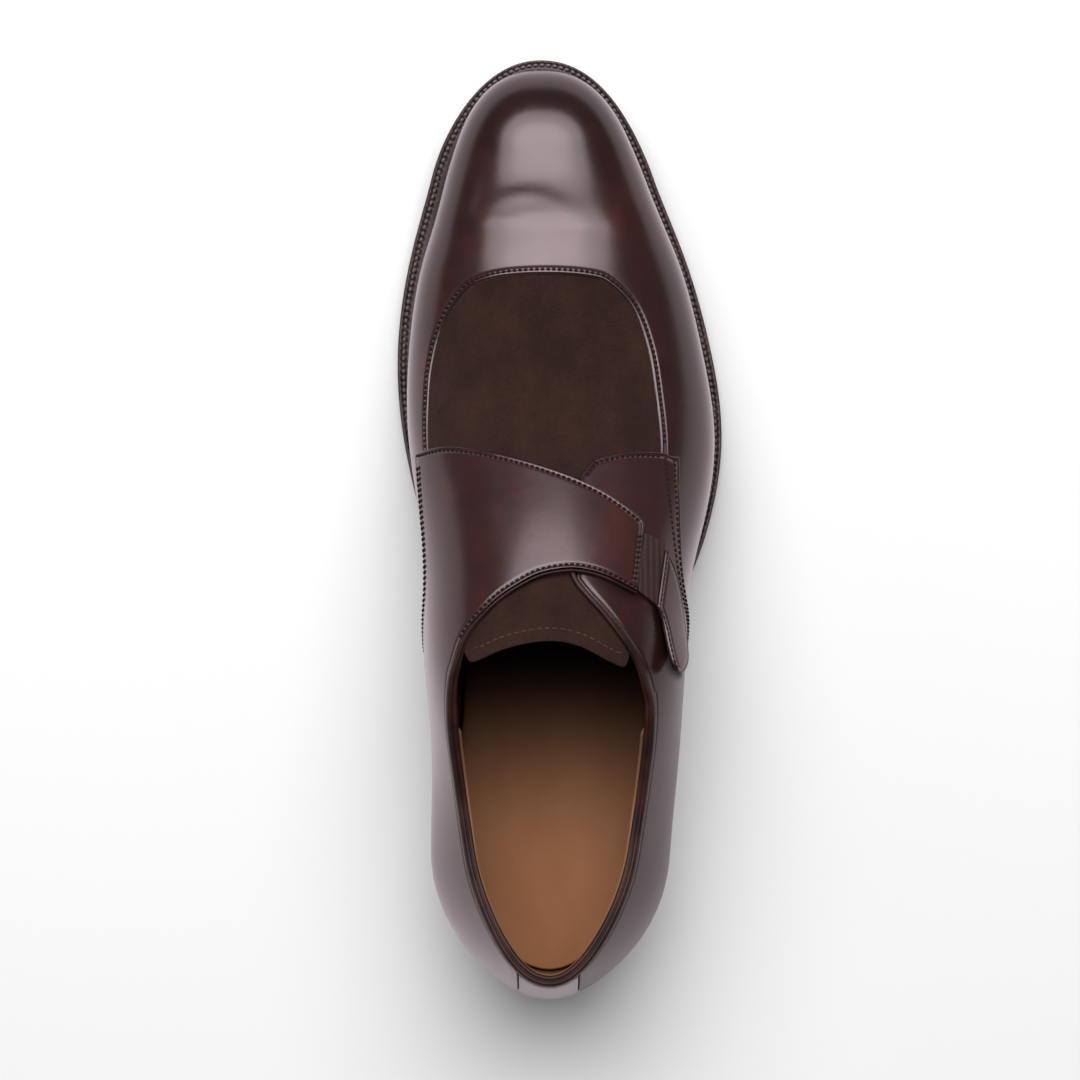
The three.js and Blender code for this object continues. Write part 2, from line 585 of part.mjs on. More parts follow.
// Outline of the heel seen from above: the sole's edge up to the curved breast
const BREAST_STEPS = 8;
const BREAST_CLOSEST = 0.02;
function heelOutline(inset) {
  const rear = stations.filter((at) => at < HEEL_LENGTH / LAST_LENGTH - BREAST_CLOSEST);
  const front = HEEL_LENGTH / LAST_LENGTH;
  const edge = (side, at) => {
    const point = lastPoint(side, at, 0, soleMargin(at) - inset);
    return vector(point.x, point.y);
  };
  const inner = [...rear, front].map((at) => edge(-1, at));
  const outer = [...rear.slice(1), front].map((at) => edge(1, at)).reverse();
  const breast = [];
  for (let i = 1; i < BREAST_STEPS; i++) {
    const share = i / BREAST_STEPS;
    const bow = BREAST_CURVE * 4 * share * (1 - share);
    const point = inner[inner.length - 1].clone().lerp(outer[0], share);
    breast.push(point.add(vector(0, -bow)));
  }
  return [...inner, ...breast, ...outer].reverse();
}
function heelBody(layers) {
  const faces = THREE.ShapeUtils.triangulateShape(heelOutline(0), []);
  const rings = layers.map(({ inset, height }) => heelOutline(inset)
    .map((point) => new THREE.Vector3(point.x, point.y, height(point.y))));
  return loft(rings, faces);
}
const STACK_LAYERS = 3;
const LAYER_GROOVE = 0.35;
const GROOVE_SHARE = 0.02;
function makeHeelStack() {
  const low = LIFT_THICKNESS + GAP;
  const height = (share) => (y) => low + (bottom(y) - GAP - low) * share;
  const taper = (share) => HEEL_TAPER * (1 - share);
  const layers = [{ inset: taper(0), height: height(0) }];
  for (let i = 1; i < STACK_LAYERS; i++) {
    const share = i / STACK_LAYERS;
    layers.push({ inset: taper(share), height: height(share - GROOVE_SHARE) });
    layers.push({ inset: taper(share) + LAYER_GROOVE, height: height(share) });
    layers.push({ inset: taper(share), height: height(share + GROOVE_SHARE) });
  }
  layers.push({ inset: taper(1), height: height(1) });
  return heelBody(layers);
}
const LIFT_CHAMFER = 0.6;
const makeTopLift = () => heelBody([
  { inset: HEEL_TAPER + LIFT_CHAMFER, height: () => 0 },
  { inset: HEEL_TAPER, height: () => LIFT_CHAMFER },
  { inset: HEEL_TAPER, height: () => LIFT_THICKNESS },
]);

// Colours and finishes
const BURNISHED = { color: 0x4a2e22, roughness: 0.28, metalness: 0 };
const SUEDE_BROWN = { color: 0x46301f, roughness: 0.95, metalness: 0 };
const DARK_EDGE = { color: 0x2a1c15, roughness: 0.45, metalness: 0 };
const TAN = { color: 0xa9805a, roughness: 0.6, metalness: 0 };
const RUBBER = { color: 0x1c1a19, roughness: 0.8, metalness: 0 };

const shoe = new THREE.Group();
function addPiece(name, shape, look) {
  const geometry = shape.getMesh ? geometryFrom(shape) : shape;
  const mesh = new THREE.Mesh(geometry, new THREE.MeshStandardMaterial(look));
  mesh.name = name;
  shoe.add(mesh);
}

addPiece('outsole', makeOutsole(), DARK_EDGE);
addPiece('heel_stack', makeHeelStack(), DARK_EDGE);
addPiece('top_lift', makeTopLift(), RUBBER);
addPiece('welt', makeWelt(), DARK_EDGE);
addPiece('insole', makeInsole(), TAN);
addPiece('upper', makeUpper(), BURNISHED);
addPiece('tongue', makeTongue(), SUEDE_BROWN);
addPiece('medial_quarter', makeMedialQuarter(), BURNISHED);
addPiece('lateral_quarter', makeLateralQuarter(), BURNISHED);
addPiece('back_strip', makeBackStrip(), BURNISHED);
addPiece('collar_binding', makeBinding(), BURNISHED);
addPiece('strap_strip', makeStrip(), DARK_EDGE);
addPiece('strap_tab', makeTab(), BURNISHED);

// The origin is in the middle of the shoe's footprint
const extent = new THREE.Box3().setFromObject(shoe);
const middle = extent.getCenter(new THREE.Vector3());
for (const mesh of shoe.children) mesh.position.set(-middle.x, -middle.y, -extent.min.z);

export default shoe;
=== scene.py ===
"""Looks of a right monk strap shoe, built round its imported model.

Shapes are worked out in millimetres on the last, whose heel is at y 0, and place() turns
them into metres in the part's own frame.
"""

import bpy
import numpy as np
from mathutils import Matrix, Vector


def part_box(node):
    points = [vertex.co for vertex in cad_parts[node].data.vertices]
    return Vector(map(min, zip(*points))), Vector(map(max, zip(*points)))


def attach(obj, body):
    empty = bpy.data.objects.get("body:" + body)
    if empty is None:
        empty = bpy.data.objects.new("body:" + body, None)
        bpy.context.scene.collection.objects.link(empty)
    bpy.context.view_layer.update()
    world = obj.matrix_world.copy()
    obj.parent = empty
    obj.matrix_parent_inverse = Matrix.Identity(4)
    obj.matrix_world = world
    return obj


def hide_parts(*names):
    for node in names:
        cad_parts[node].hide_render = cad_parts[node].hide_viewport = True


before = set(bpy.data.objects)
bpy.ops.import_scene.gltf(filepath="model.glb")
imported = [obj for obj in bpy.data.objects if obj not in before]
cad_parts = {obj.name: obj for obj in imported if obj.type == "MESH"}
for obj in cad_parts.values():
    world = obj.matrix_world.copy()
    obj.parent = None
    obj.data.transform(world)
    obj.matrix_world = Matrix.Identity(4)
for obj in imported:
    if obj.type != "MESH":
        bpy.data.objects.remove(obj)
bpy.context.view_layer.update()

# Camera: it looks straight down from 1.3 m, with the toe up in the picture.
camera_data = bpy.data.cameras.new("photo_camera")
camera_data.sensor_width = 36
camera_data.lens = 129.57
camera = bpy.data.objects.new("photo_camera", camera_data)
camera.location = (-0.0065, -0.0051, 1.3)
bpy.context.collection.objects.link(camera)
bpy.context.scene.camera = camera


# Vamp: the polished calf leather of the front and sides, about 1.5 mm thick, lasted over the
# form and stitched down to the welt. A window is cut in it for the suede plug.
LENGTH = 300.5
BALL = 100
INSTEP = 100
BELLY = 20
HEEL_ROUND = 46
TOE_ROUND = 38
TOE_FALL = 27
COLLAR_HEIGHT = 94
HEEL_HEIGHT = 22
HEEL_LENGTH = 75
TOE_SPRING = 12
TREAD_BACK = 0.635
TREAD_FRONT = 0.71
SOLE = 5
WELT_THICKNESS = 3.2
BACK_LEAN = 9.2
BACK_TUCK = 3
LEAN_REACH = 90
WALL = 2.5
LINING = 0.8
GAP = 0.3
OUTSIDE = 100
BEHIND = -30
FAR = 50

# Sections along the last: at, inner and outer width, inner and outer foot, ridge, top, belly,
# bend, inner and outer fullness. Widths are shares of BALL, heights of INSTEP and BELLY.
SECTIONS = np.array([
    [0.00, 0.310, 0.300, 0.280, 0.275, 0.004, 1.18, 0.90, 1.3, 0.62, 0.62],
    [0.05, 0.338, 0.345, 0.302, 0.312, 0.005, 1.20, 0.90, 1.3, 0.82, 0.82],
    [0.155, 0.364, 0.379, 0.326, 0.343, 0.005, 1.22, 0.90, 1.3, 0.90, 0.86],
    [0.26, 0.362, 0.408, 0.312, 0.352, 0.000, 1.16, 0.95, 1.5, 0.54, 0.69],
    [0.37, 0.388, 0.432, 0.298, 0.380, -0.010, 1.00, 1.00, 2.3, 0.43, 0.52],
    [0.45, 0.398, 0.466, 0.328, 0.438, -0.020, 0.89, 1.00, 2.2, 0.43, 0.49],
    [0.52, 0.424, 0.518, 0.382, 0.500, -0.028, 0.78, 0.95, 2.1, 0.45, 0.50],
    [0.60, 0.458, 0.545, 0.436, 0.531, -0.026, 0.645, 0.85, 2.1, 0.47, 0.50],
    [0.69, 0.458, 0.508, 0.453, 0.495, -0.020, 0.545, 0.70, 2.1, 0.47, 0.49],
    [0.80, 0.407, 0.419, 0.402, 0.395, -0.018, 0.495, 0.52, 2.2, 0.45, 0.45],
    [0.90, 0.326, 0.301, 0.320, 0.277, -0.020, 0.470, 0.42, 2.2, 0.43, 0.43],
    [1.00, 0.318, 0.270, 0.280, 0.240, -0.023, 0.450, 0.36, 2.2, 0.42, 0.42],
])
COLLAR = np.array([
    [0.00, 1.000], [0.06, 0.945], [0.14, 0.868], [0.22, 0.840], [0.30, 0.888], [0.37, 0.942],
    [0.44, 0.985],
])
THROAT = np.array([
    [-0.308, 0.348], [-0.277, 0.379], [-0.201, 0.413], [-0.091, 0.441], [0.030, 0.456],
    [0.080, 0.451], [0.119, 0.433], [0.199, 0.403], [0.284, 0.363], [0.328, 0.322],
])
PLUG = np.array([
    [-0.257, 0.369], [-0.268, 0.420], [-0.336, 0.500], [-0.384, 0.575], [-0.386, 0.639],
    [-0.373, 0.679], [-0.343, 0.715], [-0.297, 0.741], [-0.246, 0.757], [-0.155, 0.766],
    [-0.010, 0.769], [0.134, 0.766], [0.199, 0.758], [0.270, 0.734], [0.316, 0.695],
    [0.339, 0.653], [0.358, 0.583], [0.340, 0.510], [0.280, 0.430], [0.247, 0.366],
])
TONGUE_END = np.array([
    [0.247, 0.366], [0.236, 0.356], [0.209, 0.357], [0.099, 0.376], [0.019, 0.382],
    [-0.061, 0.380], [-0.141, 0.373], [-0.201, 0.364], [-0.238, 0.360], [-0.257, 0.369],
])


def cubic(at, values):
    """Natural cubic curve through the rows: its bend is zero at both ends."""
    step = np.diff(at)
    inner = np.arange(1, len(at) - 1)
    matrix = np.eye(len(at))
    matrix[inner, inner - 1] = step[:-1]
    matrix[inner, inner] = 2 * (step[:-1] + step[1:])
    matrix[inner, inner + 1] = step[1:]
    right = np.zeros(len(at))
    right[inner] = 6 * np.diff(np.diff(values) / step)
    second = np.linalg.solve(matrix, right)

    def value(x):
        k = np.clip(np.searchsorted(at, x) - 1, 0, len(at) - 2)
        a = (at[k + 1] - x) / step[k]
        b = (x - at[k]) / step[k]
        bow = ((a**3 - a) * second[k] + (b**3 - b) * second[k + 1]) * step[k] ** 2 / 6
        return a * values[k] + b * values[k + 1] + bow

    return value


column = [cubic(SECTIONS[:, 0], SECTIONS[:, i]) for i in range(SECTIONS.shape[1])]
collar_share = cubic(COLLAR[:, 0], COLLAR[:, 1])


def smooth(x, low, high):
    """0 below low and 1 above high, with a smooth step between them."""
    share = np.clip((x - low) / (high - low), 0, 1)
    return share * share * (3 - 2 * share)


def bottom(y):
    """Height of the sole's underside: a heel seat, an arch, a flat tread and a toe spring."""
    arch = 1 - smooth(y, HEEL_LENGTH, TREAD_BACK * LENGTH)
    seat = np.clip(1 - y / HEEL_LENGTH, 0, 1.1)
    front = np.clip((y / LENGTH - TREAD_FRONT) / (1 - TREAD_FRONT), 0, 1.1)
    return HEEL_HEIGHT * (0.93 * arch + 0.07 * seat) + TOE_SPRING * front**1.8


SOLE_STACK = SOLE + GAP + WELT_THICKNESS + GAP


def section_sizes(at, side, grow):
    """What a section of the last needs: its ridge, widths, heights, ends and powers."""
    y = at * LENGTH
    ridge = column[5](at) * BALL
    wide = np.where(side < 0, column[1](at), column[2](at)) * BALL - side * ridge
    foot = np.where(side < 0, column[3](at), column[4](at)) * BALL - side * ridge
    full = np.where(side < 0, column[9](at), column[10](at))
    back = np.clip(1 - y / HEEL_ROUND, 0, 1)
    front = np.clip(1 - (LENGTH - y) / TOE_ROUND, 0, 1)
    fall = np.clip(1 - (LENGTH - y) / TOE_FALL, 0, 1)
    narrow = np.sqrt(1 - back**2) * (1 - front**2.1) ** (1 / 2.1)
    low = (1 - fall**2.2) ** (1 / 2.2)
    base = bottom(y) + SOLE_STACK
    belly = column[7](at) * BELLY * low
    top = (column[6](at) * INSTEP + grow - base) * low - belly
    return y, ridge, wide, foot, full, narrow, base, belly, top, column[8](at)


def on_last(at, turn, grow):
    """Points of the last grown by some millimetres. turn runs from -2 at the inner lower edge
    over the ridge at 0 to 2 at the outer lower edge: a power of a cosine across, a power of a
    sine upwards, and a lean towards the toe that fades out past the heel."""
    at, turn, grow = np.broadcast_arrays(at * 1.0, turn * 1.0, grow * 1.0)
    side = np.where(turn < 0, -1, 1)
    level = 2 - np.abs(turn)
    y, ridge, wide, foot, full, narrow, base, belly, top, bend = section_sizes(at, side, grow)
    angle = np.pi / 2 * np.clip(level - 1, 0, 1)
    lower = np.clip(level, 0, 1)
    reach = (foot + grow + (wide - foot) * np.sin(np.pi / 2 * lower)) * np.cos(angle) ** (2 * full)
    z = base + belly * lower + top * np.sin(angle) ** (2 / bend)
    near = np.clip(1 - y / LEAN_REACH, 0, 1) ** 2
    above = np.clip((z - base - belly) / (COLLAR_HEIGHT - base - belly), 0, None)
    tuck = np.clip(1 - (z - base) / np.maximum(belly, 1), 0, 1)
    lean = BACK_LEAN * above**1.4 + BACK_TUCK * tuck**2
    return np.stack([ridge + side * reach * narrow, y + grow * (2 * at - 1) + near * lean, z], -1)


def normal_at(at, turn, grow):
    """Outward normal of the last, from four points close by."""
    step = 0.0015
    ahead = on_last(np.clip(at + step, 0, 1), turn, grow)
    behind = on_last(np.clip(at - step, 0, 1), turn, grow)
    outer = on_last(at, np.clip(turn + 4 * step, -2, 2), grow)
    inner = on_last(at, np.clip(turn - 4 * step, -2, 2), grow)
    normal = np.cross(outer - inner, ahead - behind)
    return normal / np.maximum(np.linalg.norm(normal, axis=-1, keepdims=True), 1e-9)


def from_above(x, y, grow):
    """Place on the last, as at and turn, of what lies over a point seen from above."""
    at = np.clip((y + grow) / (LENGTH + 2 * grow), 0, 1)
    side = np.where(x < column[5](at) * BALL, -1, 1)
    _, ridge, wide, _, full, narrow, *_ = section_sizes(at, side, grow)
    share = np.clip(np.abs(x - ridge) / np.maximum((wide + grow) * narrow, 1e-6), 0, 1)
    return at, side * (1 - np.arccos(share ** (1 / (2 * full))) * 2 / np.pi)


def from_side(side, y, z, grow):
    """Place on the last of a point seen from the side, found in a few rounds at the heel."""
    at = y / LENGTH
    for _ in range(12):
        _, _, _, _, _, _, base, belly, top, bend = section_sizes(at, side, grow)
        share = np.clip((z - base - belly) / top, 0, 1)
        level = 1 + np.arcsin(share ** (bend / 2)) * 2 / np.pi
        level = np.where(z < base + belly, np.clip((z - base) / belly, 0, 1), level)
        turn = side * (2 - level)
        at = np.clip(at + (y - on_last(at, turn, grow)[..., 1]) / LENGTH, 0, 1)
    return at, turn


def curve(rows, scale, steps=12):
    """Smooth run of points through the rows of an outline: each stretch is a Catmull-Rom arc."""
    p = np.asarray(rows) * scale
    p = np.concatenate([[2 * p[0] - p[1]], p, [2 * p[-1] - p[-2]]])
    t = (np.arange((len(p) - 3) * steps) % steps / steps)[:, None]
    k = np.arange((len(p) - 3) * steps) // steps
    a, b, c, d = p[k], p[k + 1], p[k + 2], p[k + 3]
    run = 0.5 * (2 * b + (c - a) * t + (2 * a - 5 * b + 4 * c - d) * t**2 + (3 * b - a - 3 * c + d) * t**3)
    return np.concatenate([run, p[-2:-1]])


# Millimetres for the shares of an outline, seen from above and from the side.
PLAN = np.array([BALL, LENGTH])
SIDE = np.array([LENGTH, INSTEP])


def depth_in(points, outline, normals):
    """How deep each point lies inside a closed outline, and below zero outside it. The
    distance is divided by the share of it that runs along the surface."""
    best = np.full(len(points), 1e9)
    away = np.zeros((len(points), 2))
    odd = np.zeros(len(points), bool)
    for a, b in zip(outline, np.roll(outline, -1, axis=0)):
        run = b - a
        share = np.clip((points - a) @ run / max(run @ run, 1e-12), 0, 1)
        gap = points - a - share[:, None] * run
        size = np.hypot(gap[:, 0], gap[:, 1])
        away = np.where((size < best)[:, None], gap, away)
        best = np.minimum(best, size)
        crosses = (a[1] > points[:, 1]) != (b[1] > points[:, 1])
        if a[1] != b[1]:
            odd ^= crosses & (points[:, 0] < a[0] + (points[:, 1] - a[1]) / (b[1] - a[1]) * run[0])
    lift = np.sum(away / np.maximum(best, 1e-9)[:, None] * normals, axis=1)
    return np.where(odd, best, -best) / np.sqrt(np.clip(1 - lift**2, 0.03, 1))


def collar_height(y):
    """Height of the collar at a place along the shoe."""
    return collar_share(np.clip(y / LENGTH, 0, 0.44)) * COLLAR_HEIGHT


def below_collar(points):
    """Distance to the ankle opening, above zero on the leather's side of it."""
    front = np.where(points[:, 0] < 0, THROAT[0, 1], THROAT[-1, 1]) * LENGTH
    under = collar_height(points[:, 1]) - points[:, 2]
    return np.where(points[:, 1] < front, under, np.maximum(under, points[:, 1] - front))


THROAT_BACK = 0.29


def clear_of_throat(points, normals):
    """Distance to the throat's edge, above zero on the leather's side of it."""
    back = np.array([[THROAT[-1, 0], THROAT_BACK], [THROAT[0, 0], THROAT_BACK]])
    outline = np.concatenate([curve(THROAT, PLAN), back * PLAN])
    far = -depth_in(points[:, :2], outline, normals[:, :2])
    return np.where(points[:, 2] > 0.6 * INSTEP, far, FAR)


def stations(step):
    """Shares along the last, some millimetres apart and closer at its two rounded ends."""
    heel = HEEL_ROUND * (1 - np.cos(np.linspace(0, np.pi / 2, int(70 / step))))
    toe = LENGTH - TOE_ROUND * (1 - np.sin(np.linspace(0, np.pi / 2, int(58 / step))))
    middle = np.linspace(HEEL_ROUND, LENGTH - TOE_ROUND, int(216 / step))
    return np.concatenate([heel[:-1], middle[:-1], toe]) / LENGTH


def halves(a, b, c, d):
    """Two triangles for each field with these four corners."""
    a, b, c, d = (corner.ravel() for corner in (a, b, c, d))
    return np.concatenate([np.stack([a, b, c], 1), np.stack([a, c, d], 1)])


def patch(at, turn):
    """Grid of places on the last and the triangles that join them, facing outwards."""
    places = np.stack(np.meshgrid(at, turn, indexing="ij"), -1).reshape(-1, 2)
    corner = np.arange(len(at) * len(turn)).reshape(len(at), len(turn))
    return places, halves(corner[:-1, :-1], corner[:-1, 1:], corner[1:, 1:], corner[1:, :-1])


def cut(faces, data, level):
    """Splits every triangle that the line where the third column equals level runs through."""
    above = data[:, 2] > level
    count = above[faces].sum(axis=1)
    crossed = (count == 1) | (count == 2)
    corners = faces[crossed]
    lone = np.argmax(above[corners] == (count[crossed] == 1)[:, None], axis=1)
    a, b, c = np.take_along_axis(corners, (lone[:, None] + np.arange(3)) % 3, 1).T
    pairs = np.sort(np.stack([np.concatenate([a, a]), np.concatenate([b, c])], 1), 1)
    ends, place = np.unique(pairs, axis=0, return_inverse=True)
    place = place.reshape(-1) + len(data)
    first, last = data[ends[:, 0]], data[ends[:, 1]]
    share = (level - first[:, 2]) / (last[:, 2] - first[:, 2])
    made = first + share[:, None] * (last - first)
    made[:, 2] = level
    ab, ac = place[: len(a)], place[len(a) :]
    split = [np.stack(t, 1) for t in ((a, ab, ac), (ab, b, c), (ab, c, ac))]
    return np.concatenate([faces[~crossed], *split]), np.concatenate([data, made])


def place(points):
    """Metres in the part's frame from millimetres on the last."""
    shift = [sum(side[0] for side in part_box("back_strip")) / 2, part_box("outsole")[1][1] - 0.3039, 0]
    return points * 0.001 + np.array(shift)


def weld(points, faces):
    """Which points stay when those less than a micron apart are joined, and the triangles
    between them, without those that lose their width."""
    _, first, same = np.unique(np.round(points, 3), axis=0, return_index=True, return_inverse=True)
    faces = same.reshape(-1)[faces]
    return first, faces[np.all(faces != np.roll(faces, 1, axis=1), axis=1)]


def build(name, points, faces, material, attributes, node):
    """Mesh object that rides on the shoe, stands for a CAD node and wears a material."""
    first, faces = weld(points, faces)
    points = points[first]
    mesh = bpy.data.meshes.new(name)
    mesh.vertices.add(len(points))
    mesh.vertices.foreach_set("co", place(points).astype(np.float32).ravel())
    size = faces.shape[1]
    mesh.loops.add(faces.size)
    mesh.loops.foreach_set("vertex_index", faces.astype(np.int32).ravel())
    mesh.polygons.add(len(faces))
    mesh.polygons.foreach_set("loop_start", np.arange(0, faces.size, size, dtype=np.int32))
    mesh.update(calc_edges=True)
    mesh.polygons.foreach_set("use_smooth", np.ones(len(faces), bool))
    for key, values in (attributes or {}).items():
        layer = mesh.attributes.new(key, "FLOAT", "POINT")
        layer.data.foreach_set("value", values[first].astype(np.float32))
    mesh.materials.append(material)
    mesh.validate()
    made = bpy.data.objects.new(name, mesh)
    bpy.context.collection.objects.link(made)
    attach(made, "root")
    if node:
        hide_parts(node)


def sheet(places, faces, keep, low, high, radius):
    """Closed body over the part of the last where keep is above zero, between two levels that
    low and high give for a place. Its upper edge is rounded as a quarter circle."""
    data = np.column_stack([places, keep])
    for share in (0, 0.08, 0.3, 0.6, 1):
        faces, data = cut(faces, data, share * radius)
    depth = data[faces, 2]
    faces = faces[(depth.min(axis=1) >= 0) & (depth.max(axis=1) > 0)]
    used, faces = np.unique(faces, return_inverse=True)
    data, faces = data[used], faces.reshape(-1, 3)
    first, faces = weld(on_last(data[:, 0], data[:, 1], 0), faces)
    data = data[first]
    at, turn, inside = data.T
    plain = on_last(at, turn, 0)
    share = np.clip(inside / radius, 0, 1)
    rise = 0.2 + 0.8 * np.sqrt(1 - (1 - share) ** 2)
    lower = low(plain[:, 0], plain[:, 1])
    upper = lower + (high(plain[:, 0], plain[:, 1]) - lower) * rise
    points = np.concatenate([on_last(at, turn, upper), on_last(at, turn, lower)])
    count = len(data)
    edges = np.concatenate([faces[:, [0, 1]], faces[:, [1, 2]], faces[:, [2, 0]]])
    _, first, times = np.unique(np.sort(edges, 1), axis=0, return_index=True, return_counts=True)
    a, b = edges[first[times == 1]].T
    wall = np.concatenate([np.stack([b, a, a + count], 1), np.stack([b, a + count, b + count], 1)])
    faces = np.concatenate([faces, faces[:, ::-1] + count, wall])
    return points, faces, np.concatenate([inside, inside])


class Socket:
    """A shader socket that takes part in Python expressions, each of which adds a Math node."""

    def __init__(self, tree, link):
        self.tree = tree
        self.link = link

    def node(self, kind, settings=None, values=None):
        """Any other node: its settings first, then its values and links by name or place."""
        made = self.tree.nodes.new(kind)
        for key, value in (settings or {}).items():
            setattr(made, key, value)
        for key, value in (values or {}).items():
            if isinstance(value, Socket):
                self.tree.links.new(value.link, made.inputs[key])
            else:
                made.inputs[key].default_value = value
        return made

    def out(self, kind, settings=None, values=None, name=0):
        """One output of any other node, as a socket."""
        return Socket(self.tree, self.node(kind, settings, values).outputs[name])

    def math(self, operation, *values):
        """A Math node of this operation."""
        return self.out("ShaderNodeMath", {"operation": operation}, dict(enumerate(values)))

    def __add__(self, other):
        return self.math("ADD", self, other)

    def __sub__(self, other):
        return self.math("SUBTRACT", self, other)

    def __rsub__(self, other):
        return self.math("SUBTRACT", other, self)

    def __mul__(self, other):
        return self.math("MULTIPLY", self, other)

    __radd__ = __add__
    __rmul__ = __mul__

    def step(self, low, high):
        """0 below low and 1 above high, with a smooth step between them."""
        settings = {"interpolation_type": "SMOOTHSTEP"}
        return self.out("ShaderNodeMapRange", settings, {"Value": self, "From Min": low, "From Max": high})

    def mix(self, first, second):
        """Colour between two, by this share."""
        values = {0: self, 6: first, 7: second}
        return self.out("ShaderNodeMix", {"data_type": "RGBA"}, values, 2)


def shader(name, roughness, coat=0.0, sheen=0.0):
    """New material, with its Object coordinates and its main shader."""
    material = bpy.data.materials.new(name)
    material.use_nodes = True
    tree = material.node_tree
    main = tree.nodes["Principled BSDF"]
    main.inputs["Roughness"].default_value = roughness
    main.inputs["Coat Weight"].default_value = coat
    main.inputs["Coat Roughness"].default_value = 0.12
    main.inputs["Sheen Weight"].default_value = sheen
    where = Socket(tree, tree.nodes.new("ShaderNodeTexCoord").outputs["Object"])
    return material, where, main


def noise(where, scale, detail=3.0, roughness=0.55, stretch=(1, 1, 1)):
    """Noise from 0 to 1 at a scale per metre, stretched along the axes."""
    moved = where.out("ShaderNodeMapping", None, {"Vector": where, "Scale": stretch})
    values = {"Vector": moved, "Scale": scale, "Detail": detail, "Roughness": roughness}
    return where.out("ShaderNodeTexNoise", None, values)


def attribute(where, name):
    """A value that the mesh carries in its points."""
    return where.out("ShaderNodeAttribute", {"attribute_name": name}, None, "Fac")


def feed(main, name, value):
    """Links a value to an input of the main shader."""
    value.tree.links.new(value.link, main.inputs[name])


def bump(where, main, height, distance):
    """Raises the surface by a height from 0 to 1 times a distance in metres."""
    values = {"Height": height, "Distance": distance, "Strength": 1.0}
    feed(main, "Normal", where.out("ShaderNodeBump", None, values))


def calf(name, dark, warm, groove=None):
    """Polished calf leather: dark brown with warmer clouds, a fine grain, and a pressed line
    along its stitches where groove gives their distance from the edge in millimetres."""
    material, where, main = shader(name, 0.3, coat=1.0)
    main.inputs["Specular Tint"].default_value = (1.0, 0.92, 0.94, 1)
    main.inputs["Coat Tint"].default_value = (1.0, 0.92, 0.955, 1)
    main.inputs["Coat IOR"].default_value = 1.1
    main.inputs["Coat Roughness"].default_value = 0.2
    cloud = noise(where, 28, 4, 0.6, (1.3, 0.8, 1)).step(0.42, 0.68)
    fine = noise(where, 160, 3)
    spots = (cloud * 0.75 + fine * 0.25) * noise(where, 70, 2).step(0.3, 0.65)
    part = where.out("ShaderNodeSeparateXYZ", None, {"Vector": where}, "Y")
    toe = part.step(0.095, 0.15)
    colour = spots.mix((*dark, 1), (*warm, 1))
    black = (dark[0] * 0.45, dark[1] * 0.4, dark[2] * 0.4, 1)
    colour = (toe * 0.75).mix(colour, black)
    grain = noise(where, 2200, 2)
    relief = grain * 0.35 + noise(where, 420, 3) * 0.65
    if groove is not None:
        edge = attribute(where, "edge")
        line = (edge - groove) * 1.6
        pressed = 1 - (line * line * -1).math("EXPONENT", line * line * -1)
        relief = relief * 0.07 + pressed * 0.93
        colour = (1 - edge.step(0.2, 1.6)).mix(colour, black)
        bump(where, main, relief, 0.00035)
    else:
        bump(where, main, relief, 0.00004)
    feed(main, "Base Color", colour)
    feed(main, "Roughness", noise(where, 120, 3) * 0.11 + 0.17)
    return material


# Creases: middle x and y, half length across, half width along, depth, and how far the ends
# bend back.
CREASES = np.array([
    [-4, 250.5, 28, 8.5, 1.45, 2.5], [-7, 258.0, 13, 2.5, 0.28, 3.5], [-3, 252.5, 15, 2.8, 0.10, 3.0],
    [7, 247.5, 11, 1.7, 0.10, -1.0], [-15, 250.0, 9, 1.6, 0.10, 1.5], [2, 236.0, 26, 4.0, -0.15, 1.0],
])


def creases(x, y):
    """Level of the vamp's outer face: soft troughs and ridges across it, made by walking. Each
    is a bell curve along the shoe, with a bell curve for its length across."""
    level = np.asarray(x) * 0.0
    for middle, along, half, width, depth, bend in CREASES:
        across = (x - middle) / half
        level = level - depth * np.exp(-(across**2) - ((y - along + bend * across**2) / width) ** 2)
    return level


def plug_outline(margin):
    """Outline of the plug and tongue, moved out by a margin."""
    points = np.concatenate([curve(PLUG, PLAN), curve(TONGUE_END, PLAN)[1:-1]])
    out = points - np.array([0, 0.56 * LENGTH])
    return points + out * (margin / np.linalg.norm(out, axis=1))[:, None]


BROWN = (0.0135, 0.0048, 0.0040)
WARM = (0.040, 0.0108, 0.0086)
vamp_leather = calf("vamp_leather", BROWN, WARM, groove=2.0)
LOWER_STEPS = 12
turns = np.concatenate([
    np.linspace(-2, -1, LOWER_STEPS + 1)[:-1], np.linspace(-1, 1, 121),
    np.linspace(1, 2, LOWER_STEPS + 1)[1:],
])
places, faces = patch(stations(1.5), turns)
surface = on_last(places[:, 0], places[:, 1], 0)
normals = normal_at(places[:, 0], places[:, 1], 0)
window = -depth_in(surface[:, :2], plug_outline(GAP), normals[:, :2])
upright = surface[:, 2] > 0.3 * INSTEP
open_side = np.minimum(below_collar(surface), clear_of_throat(surface, normals))
keep = np.minimum(np.where(upright, window, FAR), open_side)
points, joined, edge = sheet(places, faces, keep, lambda x, y: x * 0 + LINING - WALL + 0.05, creases, 1.0)
build("vamp", points, joined, vamp_leather, {"edge": edge}, "upper")


def even(points, step):
    """The same line with points a fixed distance apart."""
    run = np.concatenate([[0], np.cumsum(np.linalg.norm(np.diff(points, axis=0), axis=1))])
    places = np.linspace(0, run[-1], max(int(run[-1] / step), 2))
    return np.stack([np.interp(places, run, points[:, i]) for i in range(points.shape[1])], 1)


